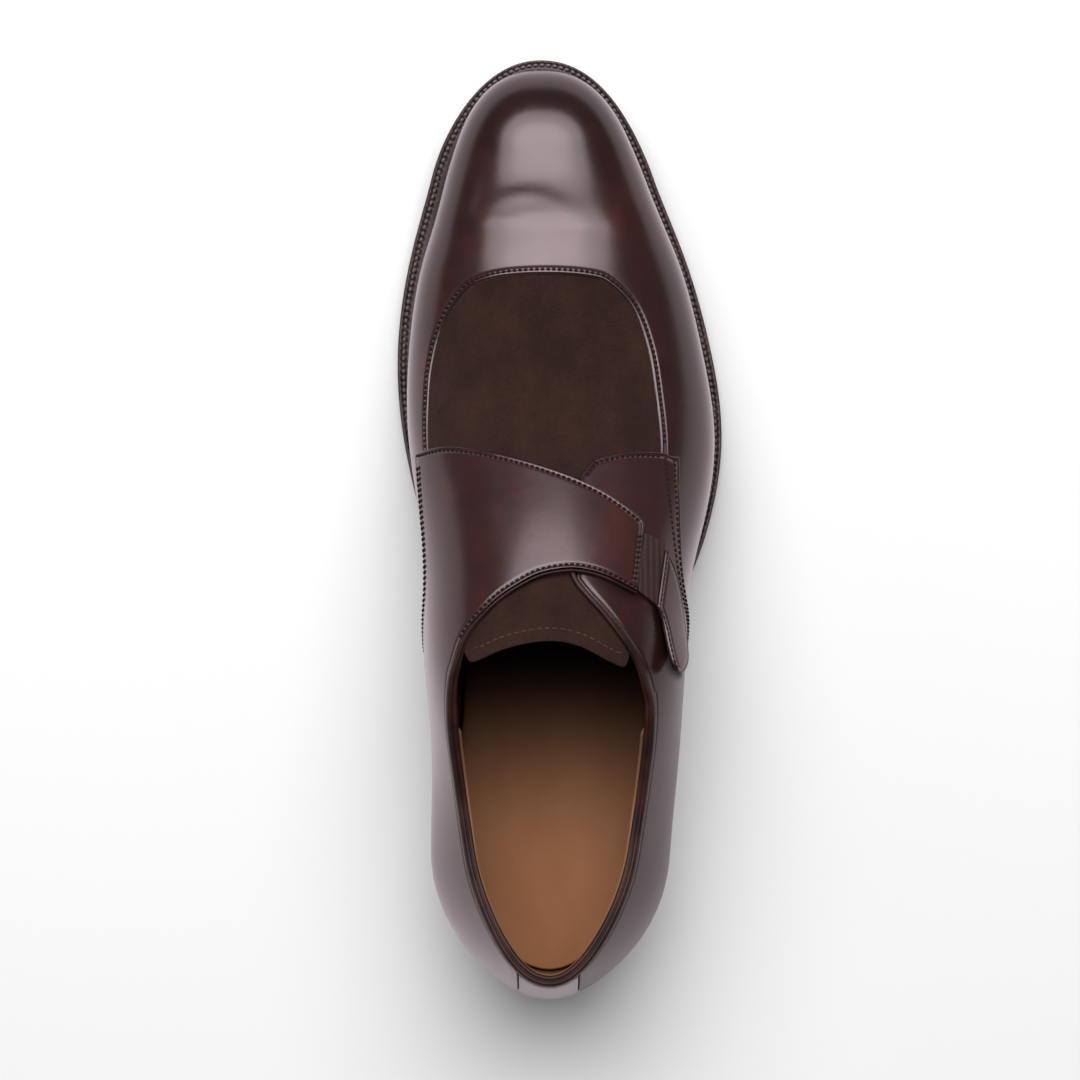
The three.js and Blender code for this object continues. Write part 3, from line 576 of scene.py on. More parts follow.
def row_above(rows, inset, level, start=0.0, end=1.0):
    """Line on the surface along an outline seen from above, moved to its left by a distance
    measured on the surface, with the surface's normals."""
    line = even(curve(rows, PLAN), 0.4)
    line = line[int(start * len(line)) : int(end * len(line))]
    run = np.gradient(line, axis=0)
    left = np.stack([-run[:, 1], run[:, 0]], 1) / np.hypot(run[:, 0], run[:, 1])[:, None]
    at, turn = from_above(line[:, 0], line[:, 1], level(line[:, 0], line[:, 1]))
    lift = np.sum(left * normal_at(at, turn, level(line[:, 0], line[:, 1]))[:, :2], axis=1)
    line = line + left * (inset * np.sqrt(np.clip(1 - lift**2, 0.05, 1)))[:, None]
    grow = level(line[:, 0], line[:, 1])
    at, turn = from_above(line[:, 0], line[:, 1], grow)
    return on_last(at, turn, grow), normal_at(at, turn, grow)


def row_beside(rows, side, inset, level, start=0.0, end=1.0):
    """Line on the surface along an outline seen from the side, moved to its left by a
    distance, with the surface's normals."""
    line = even(curve(rows, SIDE), 0.4)
    line = line[int(start * len(line)) : int(end * len(line))]
    run = np.gradient(line, axis=0)
    left = np.stack([-run[:, 1], run[:, 0]], 1) / np.hypot(run[:, 0], run[:, 1])[:, None]
    line = line + left * inset
    at, turn = from_side(side, line[:, 0], line[:, 1], level)
    return on_last(at, turn, level), normal_at(at, turn, level)


def stitches(name, lines, pitch, thick, thread):
    """Stitches along some lines: each is a small closed capsule, sunk a little where it ends. Its
    width is the root of 1 less a power of the place along it."""
    sides, rings = 8, 7
    angles = np.arange(sides) * 2 * np.pi / sides
    around, along = np.meshgrid(angles, np.linspace(-1, 1, rings), indexing="ij")
    width = np.sqrt(np.clip(1 - np.abs(along) ** 2.6, 0.02, 1)) * thick / 2
    part = np.stack([along * pitch * 0.38, np.cos(around) * width,
                     np.sin(around) * width - 0.25 * thick * along**2], -1).reshape(-1, 3)
    corner = np.arange(len(part)).reshape(sides, rings)
    after = np.roll(corner, -1, axis=0)
    fan = np.arange(1, sides - 1)
    skin = np.concatenate([
        halves(corner[:, :-1], after[:, :-1], after[:, 1:], corner[:, 1:]),
        np.stack([corner[fan * 0, 0], corner[fan + 1, 0], corner[fan, 0]], 1),
        np.stack([corner[fan * 0, -1], corner[fan, -1], corner[fan + 1, -1]], 1),
    ])
    points, faces, count = [], [], 0
    for line, normals in lines:
        both = even(np.concatenate([line, normals], 1), 0.3)
        both = both[:: max(int(pitch / 0.3), 1)][1:-1]
        run = np.gradient(both[:, :3], axis=0)
        run /= np.linalg.norm(run, axis=1, keepdims=True)
        up = both[:, 3:] / np.linalg.norm(both[:, 3:], axis=1, keepdims=True)
        side = np.cross(up, run)
        made = (both[:, None, :3] + part[None, :, :1] * run[:, None] + part[None, :, 1:2] * side[:, None]
                + (part[None, :, 2:] + 0.1 * thick) * up[:, None])
        points.append(made.reshape(-1, 3))
        firsts = count + len(part) * np.arange(len(both))
        faces.append((skin[None] + firsts[:, None, None]).reshape(-1, 3))
        count += len(part) * len(both)
    build(name, np.concatenate(points), np.concatenate(faces), thread, None, None)


def flat_level(level):
    """A level that is the same everywhere."""
    return lambda x, y: np.asarray(x) * 0 + level


dark_thread, where, main = shader("dark_thread", 0.7)
main.inputs["Specular IOR Level"].default_value = 0.08
tone = noise(where, 900, 2)
feed(main, "Base Color", tone.mix((0.005, 0.0022, 0.0018, 1), (0.024, 0.011, 0.009, 1)))
bump(where, main, noise(where, 3500, 1), 0.0001)
window_row = row_above(PLUG[3:-3], 2.0, flat_level(-0.05))
stitches("vamp_stitches", [window_row], 2.0, 0.95, dark_thread)


# Lining: smooth leather 0.8 mm thick inside the whole upper, glued to its inner face.
# Its colour is tan at the heel and fades to near black towards the toe as painted shade, where hardly any
# light reaches.
lining_leather, where, main = shader("lining_leather", 0.6)
main.inputs["Specular IOR Level"].default_value = 0.1
part = where.out("ShaderNodeSeparateXYZ", None, {"Vector": where}, "Y")
tone = noise(where, 35, 3).step(0.35, 0.7)
colour = tone.mix((0.115, 0.055, 0.027, 1), (0.15, 0.075, 0.040, 1))
# Painted shade: the colour goes near black towards the toe.
colour = part.step(-0.095, -0.04).mix(colour, (0.008, 0.003, 0.002, 1))
feed(main, "Base Color", colour)
bump(where, main, noise(where, 1800, 2), 0.00003)
places, faces = patch(stations(2.2), turns[::2])
surface = on_last(places[:, 0], places[:, 1], -WALL)
normals = normal_at(places[:, 0], places[:, 1], -WALL)
keep = np.minimum(below_collar(surface), clear_of_throat(surface, normals))
points, joined, edge = sheet(
    places, faces, keep, lambda x, y: x * 0 - WALL, lambda x, y: x * 0 + LINING - WALL, 0.4)
build("lining", points, joined, lining_leather, None, None)


# Suede plug and tongue: one piece of brown suede with a short nap. Its front is stitched under
# the vamp's window and its rear end stands free behind the strap.
SUEDE_LOW = LINING - WALL + GAP
suede, where, main = shader("suede", 0.95, sheen=0.16)
main.inputs["Sheen Roughness"].default_value = 0.5
main.inputs["Sheen Tint"].default_value = (0.5, 0.30, 0.24, 1)
main.inputs["Specular IOR Level"].default_value = 0.15
nap = noise(where, 75, 5, 0.65, (1, 0.6, 1)).step(0.28, 0.74)
fleck = noise(where, 1500, 3, 0.7)
colour = nap.mix((0.0125, 0.0044, 0.0030, 1), (0.024, 0.0092, 0.0066, 1))
colour = (fleck.step(0.4, 0.7) * 0.6).mix(colour, (0.0065, 0.0028, 0.0021, 1))
feed(main, "Base Color", colour)
bump(where, main, fleck * 0.6 + noise(where, 500, 3) * 0.4, 0.0003)


def suede_top(x, y):
    """Level of the suede's face: it dips a little inside the window, and swells at the tongue."""
    return SUEDE_LOW + 0.95 + 0.25 * np.exp(-(((y - 120) / 10) ** 2))


places, faces = patch(np.linspace(0.34, 0.79, 150), np.linspace(-0.98, 0.98, 140))
surface = on_last(places[:, 0], places[:, 1], SUEDE_LOW)
normals = normal_at(places[:, 0], places[:, 1], SUEDE_LOW)
keep = depth_in(surface[:, :2], plug_outline(0), normals[:, :2])
points, joined, edge = sheet(places, faces, keep, lambda x, y: x * 0 + SUEDE_LOW, suede_top, 0.6)
build("suede_plug", points, joined, suede, {"edge": edge}, "tongue")

tongue_row = row_above(TONGUE_END[1:9], -4.2, lambda x, y: suede_top(x, y) - 0.02)
tongue_thread, where, main = shader("tongue_thread", 0.7)
main.inputs["Specular IOR Level"].default_value = 0.15
tone = noise(where, 700, 2)
feed(main, "Base Color", tone.mix((0.022, 0.010, 0.008, 1), (0.080, 0.038, 0.031, 1)))
bump(where, main, noise(where, 3500, 1), 0.0001)
stitches("tongue_stitches", [tongue_row], 2.6, 0.55, tongue_thread)


# Medial quarter and strap: polished leather about 1.1 mm thick, which runs from the heel along
# the inner side and crosses the instep as the strap. It is stitched along both edges.
STRAP_FRONT = np.array([
    [-0.432, 0.580], [-0.319, 0.586], [-0.154, 0.577], [0.020, 0.560], [0.162, 0.540],
    [0.274, 0.515], [0.307, 0.503],
])
STRAP_REAR = np.array([
    [0.281, 0.432], [0.180, 0.449], [0.100, 0.456], [0.039, 0.456], [-0.031, 0.451],
    [-0.091, 0.441], [-0.151, 0.428], [-0.201, 0.413], [-0.247, 0.396], [-0.277, 0.379],
    [-0.308, 0.348],
])
MEDIAL_SEAM = np.array([
    [0.590, 0.441], [0.570, 0.453], [0.510, 0.496], [0.466, 0.530], [0.430, 0.540],
    [0.400, 0.490], [0.365, 0.380], [0.330, 0.250],
])
LEATHER = 1.1
STRIP_HALF = 9.5
SEWN_IN = 0.03


def strap_level(x, y):
    """Level of the strap's underside: on the vamp, and past the wing's edge on the wing."""
    return GAP + (LEATHER + GAP) * smooth(x, -16, 8.2)


def above_seam(points, normals, rows, side):
    """Distance to a quarter's lower seam, above zero on the quarter's side of it."""
    line = curve(rows, SIDE)
    ahead = LENGTH + OUTSIDE
    outline = np.concatenate([line, [[line[-1, 0], -FAR], [ahead, -FAR], [ahead, line[0, 1]]]])
    far = -depth_in(points[:, 1:], outline, normals[:, 1:])
    return np.where(points[:, 0] * side > 0, far, FAR)


quarter_leather = calf("quarter_leather", (0.018, 0.0068, 0.0058), (0.036, 0.0110, 0.0092), groove=1.4)
behind_toe = stations(1.2)[:-60]
places, faces = patch(behind_toe, turns[:-LOWER_STEPS])
plain = on_last(places[:, 0], places[:, 1], GAP)
level = strap_level(plain[:, 0], plain[:, 1]) + LEATHER
surface = on_last(places[:, 0], places[:, 1], level)
normals = normal_at(places[:, 0], places[:, 1], level)
outline = np.concatenate([
    [[-OUTSIDE, STRAP_FRONT[0, 1] * LENGTH]], curve(STRAP_FRONT, PLAN), curve(STRAP_REAR, PLAN),
    [[-STRIP_HALF - GAP, THROAT_BACK * LENGTH], [-STRIP_HALF - GAP, BEHIND], [-OUTSIDE, BEHIND]],
])
keep = np.minimum(depth_in(surface[:, :2], outline, normals[:, :2]), below_collar(surface))
keep = np.minimum(keep, above_seam(surface, normals, MEDIAL_SEAM, -1))
points, joined, edge = sheet(
    places, faces, keep, strap_level, lambda x, y: strap_level(x, y) + LEATHER, 0.7)
build("medial_quarter_leather", points, joined, quarter_leather, {"edge": edge},
      "medial_quarter")


def strap_face(x, y):
    """Level of the strap's outer face, less what its stitches sink in."""
    return strap_level(x, y) + LEATHER - SEWN_IN


STRAP_END = np.array([STRAP_REAR[0], STRAP_FRONT[-1]])
medial_rows = [
    row_above(STRAP_FRONT, -1.4, strap_face),
    row_above(STRAP_REAR[:-1], -1.4, strap_face),
    row_above(STRAP_END, 1.3, strap_face, 0.05, 0.95),
    row_above(STRAP_END, 2.7, strap_face, 0.05, 0.95),
    row_beside(MEDIAL_SEAM, -1, -1.4, GAP + LEATHER, 0.08),
    row_beside(MEDIAL_SEAM, -1, -3.2, GAP + LEATHER, 0.08),
]
stitches("medial_stitches", medial_rows, 2.0, 0.72, dark_thread)


# Lateral quarter: the outer side's leather with the wing that goes under the strap. It is
# joined to the vamp with a double row of stitches.
WING_FRONT = np.array([
    [0.103, 0.554], [0.143, 0.570], [0.184, 0.575], [0.246, 0.579], [0.308, 0.580],
    [0.370, 0.579], [0.400, 0.575],
])
WING_THROAT = np.array([
    [0.328, 0.322], [0.284, 0.363], [0.199, 0.403], [0.119, 0.433], [0.088, 0.446],
])
LATERAL_SEAM = np.array([
    [0.590, 0.538], [0.575, 0.552], [0.540, 0.591], [0.500, 0.622], [0.463, 0.630],
    [0.430, 0.605], [0.400, 0.520], [0.365, 0.400], [0.325, 0.240],
])
TAB = np.array([
    [0.371, 0.482], [0.341, 0.417], [0.362, 0.396], [0.380, 0.369], [0.394, 0.353], [0.414, 0.346],
])


def paint_shade_where(material, name, colour):
    """Painted shade: mixes a dark matt shader into a polished leather where a value of the mesh is near 1.
    """
    tree = material.node_tree
    polished = Socket(tree, tree.nodes["Principled BSDF"].outputs[0])
    matt = polished.out("ShaderNodeBsdfDiffuse", None, {"Color": colour})
    values = {0: attribute(polished, name), 1: polished, 2: matt}
    both = polished.out("ShaderNodeMixShader", None, values)
    tree.links.new(both.link, tree.nodes["Material Output"].inputs["Surface"])


places, faces = patch(behind_toe, turns[LOWER_STEPS:])
surface = on_last(places[:, 0], places[:, 1], GAP + LEATHER)
normals = normal_at(places[:, 0], places[:, 1], GAP + LEATHER)
outline = np.concatenate([
    curve(WING_FRONT, PLAN),
    [[OUTSIDE, WING_FRONT[-1, 1] * LENGTH], [OUTSIDE, BEHIND], [STRIP_HALF + GAP, BEHIND],
     [STRIP_HALF + GAP, THROAT_BACK * LENGTH]],
    curve(WING_THROAT, PLAN),
])
keep = np.minimum(depth_in(surface[:, :2], outline, normals[:, :2]), below_collar(surface))
keep = np.minimum(keep, above_seam(surface, normals, LATERAL_SEAM, 1))
points, joined, edge = sheet(
    places, faces, keep, lambda x, y: x * 0 + GAP, lambda x, y: x * 0 + GAP + LEATHER, 0.7)
strap_outline = np.concatenate([curve(STRAP_FRONT, PLAN), curve(STRAP_REAR, PLAN)])
tab_outline = np.concatenate([TAB[:1] * PLAN, curve(TAB[1:], PLAN)])
flat = np.zeros((len(points), 2))
from_strap = -depth_in(points[:, :2], strap_outline, flat)
from_tab = -depth_in(points[:, :2], tab_outline, flat)
# Painted shade: the wing turns dark and matt under and beside the strap and the tab, where they shade it,
# and a little at the heel, which the lights leave darker.
strap_shade = np.maximum(1 - smooth(from_strap, -3, 8), 1 - smooth(from_tab, -1, 6))
behind = 1 - smooth(points[:, 1], 0.44 * LENGTH, 0.47 * LENGTH)
painted_shade = np.where(points[:, 2] > 0.6 * INSTEP, strap_shade * behind, 0)
heel_shade = 1 - smooth(points[:, 1], 0.34 * LENGTH, 0.5 * LENGTH)
painted_shade = np.maximum(painted_shade, 0.4 * heel_shade)
wing_leather_painted_shade = calf("wing_leather_painted_shade", (0.018, 0.0068, 0.0058), (0.036, 0.0110, 0.0092), groove=1.4)
# This copy of the quarter's leather carries the painted shade, mixed in as a dark matt shader.
paint_shade_where(wing_leather_painted_shade, "painted_shade", (0.004, 0.0018, 0.0017, 1))
build("lateral_quarter_leather", points, joined, wing_leather_painted_shade,
      {"edge": edge, "painted_shade": painted_shade}, "lateral_quarter")

wing_face = flat_level(GAP + LEATHER - SEWN_IN)
lateral_rows = [
    row_above(WING_FRONT[:-1], -1.3, wing_face),
    row_beside(LATERAL_SEAM[1:], 1, -1.4, GAP + LEATHER),
    row_beside(LATERAL_SEAM[1:], 1, -3.4, GAP + LEATHER),
]
stitches("lateral_stitches", lateral_rows, 2.0, 0.72, dark_thread)


# Back strip: a narrow leather band, 1.4 mm thick, up the heel's back between the rear ends of
# the two quarters. It runs from the welt to the rolled edge, and no stitches are made on it.
coarse = np.concatenate([
    turns[: LOWER_STEPS + 1], turns[LOWER_STEPS + 1 : -LOWER_STEPS - 1 : 2],
    turns[-LOWER_STEPS - 1 :],
])
places, faces = patch(stations(0.8)[:120], coarse)
surface = on_last(places[:, 0], places[:, 1], GAP + LEATHER)
keep = np.minimum(STRIP_HALF - np.abs(surface[:, 0]), below_collar(surface))
keep = np.where(surface[:, 1] < HEEL_ROUND, keep, -1)
BACK_LEATHER = 1.4
points, joined, edge = sheet(
    places, faces, keep, flat_level(GAP), flat_level(GAP + BACK_LEATHER), 0.8)
build("back_strip_leather", points, joined, quarter_leather, {"edge": edge}, "back_strip")


# Rolled edge: a leather binding turned over the quarters and the lining round the ankle, along
# the strap's rear edge and the outer throat edge. It shows as two rolls with a groove between.
def walk(side, start, end, count):
    """Line along the collar between two places, on the quarter's outer face."""
    y = np.linspace(start, end, count) * LENGTH
    at, turn = from_side(side, y, collar_height(y), GAP + LEATHER)
    return on_last(at, turn, GAP + LEATHER), normal_at(at, turn, GAP + LEATHER)


def heel_walk(count):
    """Line along the collar round the heel's back, by shares of the last."""
    share = np.linspace(-1, 1, count)
    at = 0.12 * share**2
    side = np.where(share < 0, -1, 1)
    low = np.ones(count)
    high = np.full(count, 2.0)
    for _ in range(30):
        middle = (low + high) / 2
        point = on_last(at, side * (2 - middle), GAP + LEATHER)
        under = point[:, 2] < collar_height(point[:, 1])
        low = np.where(under, middle, low)
        high = np.where(under, high, middle)
    turn = side * (2 - low)
    return on_last(at, turn, GAP + LEATHER), normal_at(at, turn, GAP + LEATHER)


def sweep(centre, side, up, section):
    """Body that a section makes along a line: each ring is the line's point plus the section's
    two values times the line's side and up directions. Its ends are closed with fans."""
    points = centre[:, None] + section[..., :1] * side[:, None] + section[..., 1:] * up[:, None]
    count, around = points.shape[:2]
    corner = np.arange(count * around).reshape(count, around)
    after = np.roll(corner, -1, axis=1)
    sides = halves(corner[:-1], corner[1:], after[1:], after[:-1])
    fan = np.arange(1, around - 1)
    start = np.stack([fan * 0, fan, fan + 1], 1)
    end = np.stack([fan * 0, fan + 1, fan], 1) + corner[-1, 0]
    return points.reshape(-1, 3), np.concatenate([sides, start, end])


edge_leather, where, main = shader("edge_leather", 0.4)
main.inputs["Specular IOR Level"].default_value = 0.12
tone = noise(where, 90, 3).step(0.35, 0.7)
feed(main, "Base Color", tone.mix((0.012, 0.0045, 0.0040, 1), (0.026, 0.0095, 0.0080, 1)))
bump(where, main, noise(where, 1500, 3), 0.00006)
strap_line = row_above(STRAP_REAR, 0.5, strap_face)
first = walk(-1, 0.345, 0.12, 90)
heel = heel_walk(120)
last = walk(1, 0.12, 0.320, 90)
throat_line = row_above(np.vstack([WING_THROAT, [[0.070, 0.464]]]), 0.2, wing_face)
line = np.concatenate([part[0] for part in (strap_line, first, heel, last, throat_line)])
facing = np.concatenate([part[1] for part in (strap_line, first, heel, last, throat_line)])
both = even(np.concatenate([line, facing], 1), 0.7)
kernel = np.exp(-np.linspace(-2, 2, 9) ** 2)
kernel /= kernel.sum()
padded = np.pad(both, ((4, 4), (0, 0)), mode="edge")
both = np.stack([np.convolve(padded[:, i], kernel, "valid") for i in range(6)], 1)
centre, out = both[:, :3], both[:, 3:] / np.linalg.norm(both[:, 3:], axis=1, keepdims=True)
run = np.gradient(centre, axis=0)
up = np.cross(out, run)
up /= np.linalg.norm(up, axis=1, keepdims=True)
side = np.cross(run, up)
side /= np.linalg.norm(side, axis=1, keepdims=True)
ROLLS = np.array([
    [0.15, -0.9], [0.32, 0.0], [0.3, 0.8], [0.05, 1.5], [-0.45, 1.95], [-1.0, 1.9], [-1.4, 1.45],
    [-1.65, 0.95], [-1.9, 1.25], [-2.4, 1.6], [-2.95, 1.65], [-3.5, 1.3], [-3.9, 0.7], [-4.05, -0.1],
    [-4.0, -0.9],
])
along = np.linspace(0, 1, len(centre))
thin = 0.45 + 0.55 * smooth(along, 0.14, 0.26) - 0.45 * smooth(along, 0.80, 0.92)
tall = 0.25 + 0.75 * smooth(along, 0.14, 0.26) - 0.45 * smooth(along, 0.80, 0.97)
section = ROLLS[None] * np.stack([thin * 0.84, tall], -1)[:, None]
points, joined = sweep(centre, side, up, section)
build("rolled_edge", points, joined, edge_leather, None, "collar_binding")


# Strap strip: a plain dark elastic strip that shows between the strap's end and the tab. It is
# woven in fine ribs and sewn in under the strap.
STRIP = np.array([[0.298, 0.4945], [0.366, 0.483], [0.336, 0.4175], [0.276, 0.4335]])
STRIP_THICKNESS = 0.9
ON_WING = GAP + LEATHER + GAP
elastic, where, main = shader("elastic", 0.75)
main.inputs["Specular IOR Level"].default_value = 0.25
ribs = where.out("ShaderNodeTexWave", {"bands_direction": "X"},
                 {"Vector": where, "Scale": 170.0, "Distortion": 0.4, "Detail": 1.0}, "Fac")
feed(main, "Base Color", ribs.mix((0.012, 0.0050, 0.0045, 1), (0.026, 0.0112, 0.0100, 1)))
bump(where, main, ribs, 0.00025)
places, faces = patch(np.linspace(0.40, 0.51, 90), np.linspace(0.3, 0.8, 80))
surface = on_last(places[:, 0], places[:, 1], ON_WING)
normals = normal_at(places[:, 0], places[:, 1], ON_WING)
keep = depth_in(surface[:, :2], STRIP * PLAN, normals[:, :2])
points, joined, edge = sheet(
    places, faces, keep, flat_level(ON_WING), flat_level(ON_WING + STRIP_THICKNESS), 0.4)
build("strap_elastic", points, joined, elastic, None, "strap_strip")


# Tab: a folded leather tab on the outer side, stitched along its edges. Its rear tip curls
# away from the quarter.
TAB_LOWER = np.array([
    [0.4825, 0.727], [0.466, 0.709], [0.446, 0.694], [0.418, 0.683], [0.391, 0.690],
    [0.364, 0.727], [0.350, 0.775], [0.346, 0.810],
])
TAB_THICKNESS = 1.5
TAB_CURL = 4
TAB_TIP = 0.345
CURL_START = 0.44


def tab_level(x, y):
    """Level of the tab's underside: it rises towards the tip as a square."""
    return ON_WING + TAB_CURL * (1 - smooth(y, TAB_TIP * LENGTH, CURL_START * LENGTH)) ** 2


def tab_top(x, y):
    """Level of the tab's outer face."""
    return tab_level(x, y) + TAB_THICKNESS


def tab_face(x, y):
    """Level of the tab's outer face, less what its stitches sink in."""
    return tab_top(x, y) - SEWN_IN


places, faces = patch(np.linspace(0.33, 0.50, 150), np.linspace(0.35, 1.2, 150))
plain = on_last(places[:, 0], places[:, 1], 0)
level = tab_level(plain[:, 0], plain[:, 1]) + 0.7
surface = on_last(places[:, 0], places[:, 1], level)
normals = normal_at(places[:, 0], places[:, 1], level)
outline = np.concatenate([
    TAB[:1] * PLAN, curve(TAB[1:], PLAN),
    [[OUTSIDE, TAB[-1, 1] * LENGTH], [OUTSIDE, TAB[0, 1] * LENGTH]],
])
keep = depth_in(surface[:, :2], outline, normals[:, :2])
keep = np.minimum(keep, above_seam(surface, normals, TAB_LOWER, 1))
points, joined, edge = sheet(places, faces, keep, tab_level, tab_top, 0.7)
fold = np.array([TAB[1], TAB[0]])
tab_rows = [row_above(fold, -1.4, tab_face, 0.04, 0.96), row_above(TAB[1:], 1.4, tab_face, 0.03, 0.97)]
stitches("tab_stitches", tab_rows, 1.9, 0.5, dark_thread)
build("tab_leather", points, joined, quarter_leather, {"edge": edge}, "strap_tab")


# Welt: a dark leather strip round the sole, sewn to the upper from inside. Its upper face is
# wheeled with fine notches, and the thread that holds the sole shows in them.
def margin(at):
    """How far the sole's edge lies past the upper's lower edge."""
    return 1.2 + 3.4 * smooth(at, 0.36, 0.50) - 1.2 * smooth(at, 0.88, 1)


def edge_line(step):
    """Places all round the lower edge, evenly apart: up the outer side and back down the inner.
    A row holds the sole's edge, the wall's inner face and the distance between edge and upper."""
    share = stations(1.0)
    at = np.concatenate([share, share[::-1][1:-1]])
    side = np.concatenate([np.ones(len(share)), -np.ones(len(share) - 2)])
    edge = on_last(at, 2 * side, margin(at))
    inner = on_last(at, 2 * side, -WALL)
    line = np.concatenate([edge, inner, margin(at)[:, None]], 1)
    line = np.concatenate([line, line[:1]])
    run = np.concatenate([[0], np.cumsum(np.linalg.norm(np.diff(line[:, :2], axis=0), axis=1))])
    places = np.arange(int(run[-1] / step)) * run[-1] / int(run[-1] / step)
    return places, np.stack([np.interp(places, run, line[:, i]) for i in range(7)], 1)


PITCH = 2.3
welt_leather, where, main = shader("welt_leather", 0.5)
main.inputs["Specular Tint"].default_value = (1.0, 0.84, 0.84, 1)
tone = noise(where, 120, 3).step(0.3, 0.7)
feed(main, "Base Color", tone.mix((0.014, 0.0085, 0.0088, 1), (0.034, 0.0205, 0.021, 1)))
bump(where, main, noise(where, 900, 3), 0.00012)
run, line = edge_line(0.3)
edge, inner, width = line[:, :3], line[:, 3:6], line[:, 6]
inward = inner[:, :2] - edge[:, :2]
inward /= np.linalg.norm(inward, axis=1, keepdims=True)
reach = np.linalg.norm(inner[:, :2] - edge[:, :2], axis=1)
# Welt's section: inset as a share of the margin, height, and the share of the notch's depth.
WELT = np.array([
    [0.10, 0.0, 0], [0.02, 0.15, 0], [0, 0.5, 0], [0, 2.4, 0], [0.03, 2.8, 0], [0.12, 3.05, 0],
    [0.24, 3.1, 0.2], [0.30, 3.0, 1], [0.40, 2.85, 1], [0.52, 2.85, 1], [0.62, 3.0, 1],
    [0.68, 3.15, 0.2], [0.78, 3.2, 0], [0.90, 3.2, 0],
])
wheel = 0.5 - 0.5 * np.cos(2 * np.pi * run / PITCH)
sewn = smooth(width, 2.4, 3.2)
inset = np.concatenate([WELT[:, 0][None] * width[:, None], np.stack([reach, reach], 1)], 1)
NOTCH = 0.8
lift = WELT[:, 1][None] - NOTCH * WELT[:, 2][None] * (wheel * sewn)[:, None]
lift = np.concatenate([lift, np.full((len(run), 1), WELT_THICKNESS), np.zeros((len(run), 1))], 1)
plan = edge[:, None, :2] + inset[..., None] * inward[:, None]
height = bottom(plan[..., 1]) + SOLE + GAP + lift
points = np.concatenate([plan, height[..., None]], -1)
count, around = points.shape[:2]
corner = np.arange(count * around).reshape(count, around)
after = np.roll(corner, -1, axis=1)
joined = halves(corner, np.roll(corner, -1, axis=0), np.roll(after, -1, axis=0), after)
build("welt_strip", points.reshape(-1, 3), joined, welt_leather, None, "welt")
light_thread, where, main = shader("light_thread", 0.65)
tone = noise(where, 700, 2)
feed(main, "Base Color", tone.mix((0.060, 0.044, 0.044, 1), (0.125, 0.097, 0.098, 1)))
bump(where, main, noise(where, 3500, 1), 0.0001)
middle = edge[:, :2] + 0.46 * width[:, None] * inward
row = np.column_stack([middle, bottom(middle[:, 1]) + SOLE + GAP + 2.75])
front = width > 2.9
upward = np.tile([0.0, 0.0, 1.0], (len(row), 1))
stitches("welt_stitches", [(row[front], upward[front])], PITCH, 1.1, light_thread)


# Outsole: dyed sole leather 5 mm thick, cut to the welt's outline and sewn to it. It is waxed
# at the edge and a little rubbed underneath.
def plate(grow, low, high, chamfer, steps):
    """Body between two heights, with one closed ring of points for every station: it lies the
    distance grow past the last's lower edge and has its four corners cut off by chamfer."""
    at = stations(1.6)
    rows = [(-1, chamfer, low, 0), (-1, 0, low, chamfer), (-1, 0, high, -chamfer), (-1, chamfer, high, 0)]
    rows += [(1, chamfer, high, 0), (1, 0, high, -chamfer), (1, 0, low, chamfer), (1, chamfer, low, 0)]
    ring = []
    for side, inset, level, more in rows:
        point = on_last(at, 2.0 * side, grow(at) - inset)
        ring.append(np.column_stack([point[:, :2], level(point[:, 1]) + more]))
    across = np.linspace(0, 1, steps + 1)[1:-1, None, None]
    top = ring[3] + (ring[4] - ring[3]) * across
    under = ring[7] + (ring[0] - ring[7]) * across
    points = np.stack([*ring[:4], *top, *ring[4:], *under], 1)
    for index in range(points.shape[1]):
        if 4 <= index < 3 + steps:
            points[:, index, 2] = high(points[:, index, 1])
    count, around = points.shape[:2]
    corner = np.arange(count * around).reshape(count, around)
    after = np.roll(corner, -1, axis=1)
    return points.reshape(-1, 3), halves(corner[:-1], after[:-1], after[1:], corner[1:])


sole_leather, where, main = shader("sole_leather", 0.42)
main.inputs["Specular Tint"].default_value = (1.0, 0.84, 0.80, 1)
tone = noise(where, 45, 5, 0.65).step(0.35, 0.7)
under = where.out("ShaderNodeSeparateXYZ", None,
                  {"Vector": where.out("ShaderNodeNewGeometry", None, None, "Normal")}, "Z")
worn = (under * -1).step(0.6, 0.95)
colour = tone.mix((0.011, 0.0065, 0.0055, 1), (0.028, 0.016, 0.013, 1))
colour = (worn * 0.85).mix(colour, (0.12, 0.06, 0.035, 1))
feed(main, "Base Color", colour)
feed(main, "Roughness", noise(where, 200, 3) * 0.3 + 0.3)
bump(where, main, noise(where, 700, 4), 0.0001)
CHAMFER = 0.8
points, joined = plate(margin, bottom, lambda y: bottom(y) + SOLE, CHAMFER, 10)
build("sole", points, joined, sole_leather, None, "outsole")


# Insole: a smooth tan leather foot bed on a cork filling. It lies within the upper's lower
# edge, on the outsole.
insole_leather, where, main = shader("insole_leather", 0.5)
main.inputs["Specular IOR Level"].default_value = 0.05
part = where.out("ShaderNodeSeparateXYZ", None, {"Vector": where}, "Y")
tone = noise(where, 24, 4, 0.6, (1.2, 0.6, 1)).step(0.3, 0.72)
colour = tone.mix((0.195, 0.083, 0.038, 1), (0.235, 0.107, 0.053, 1))
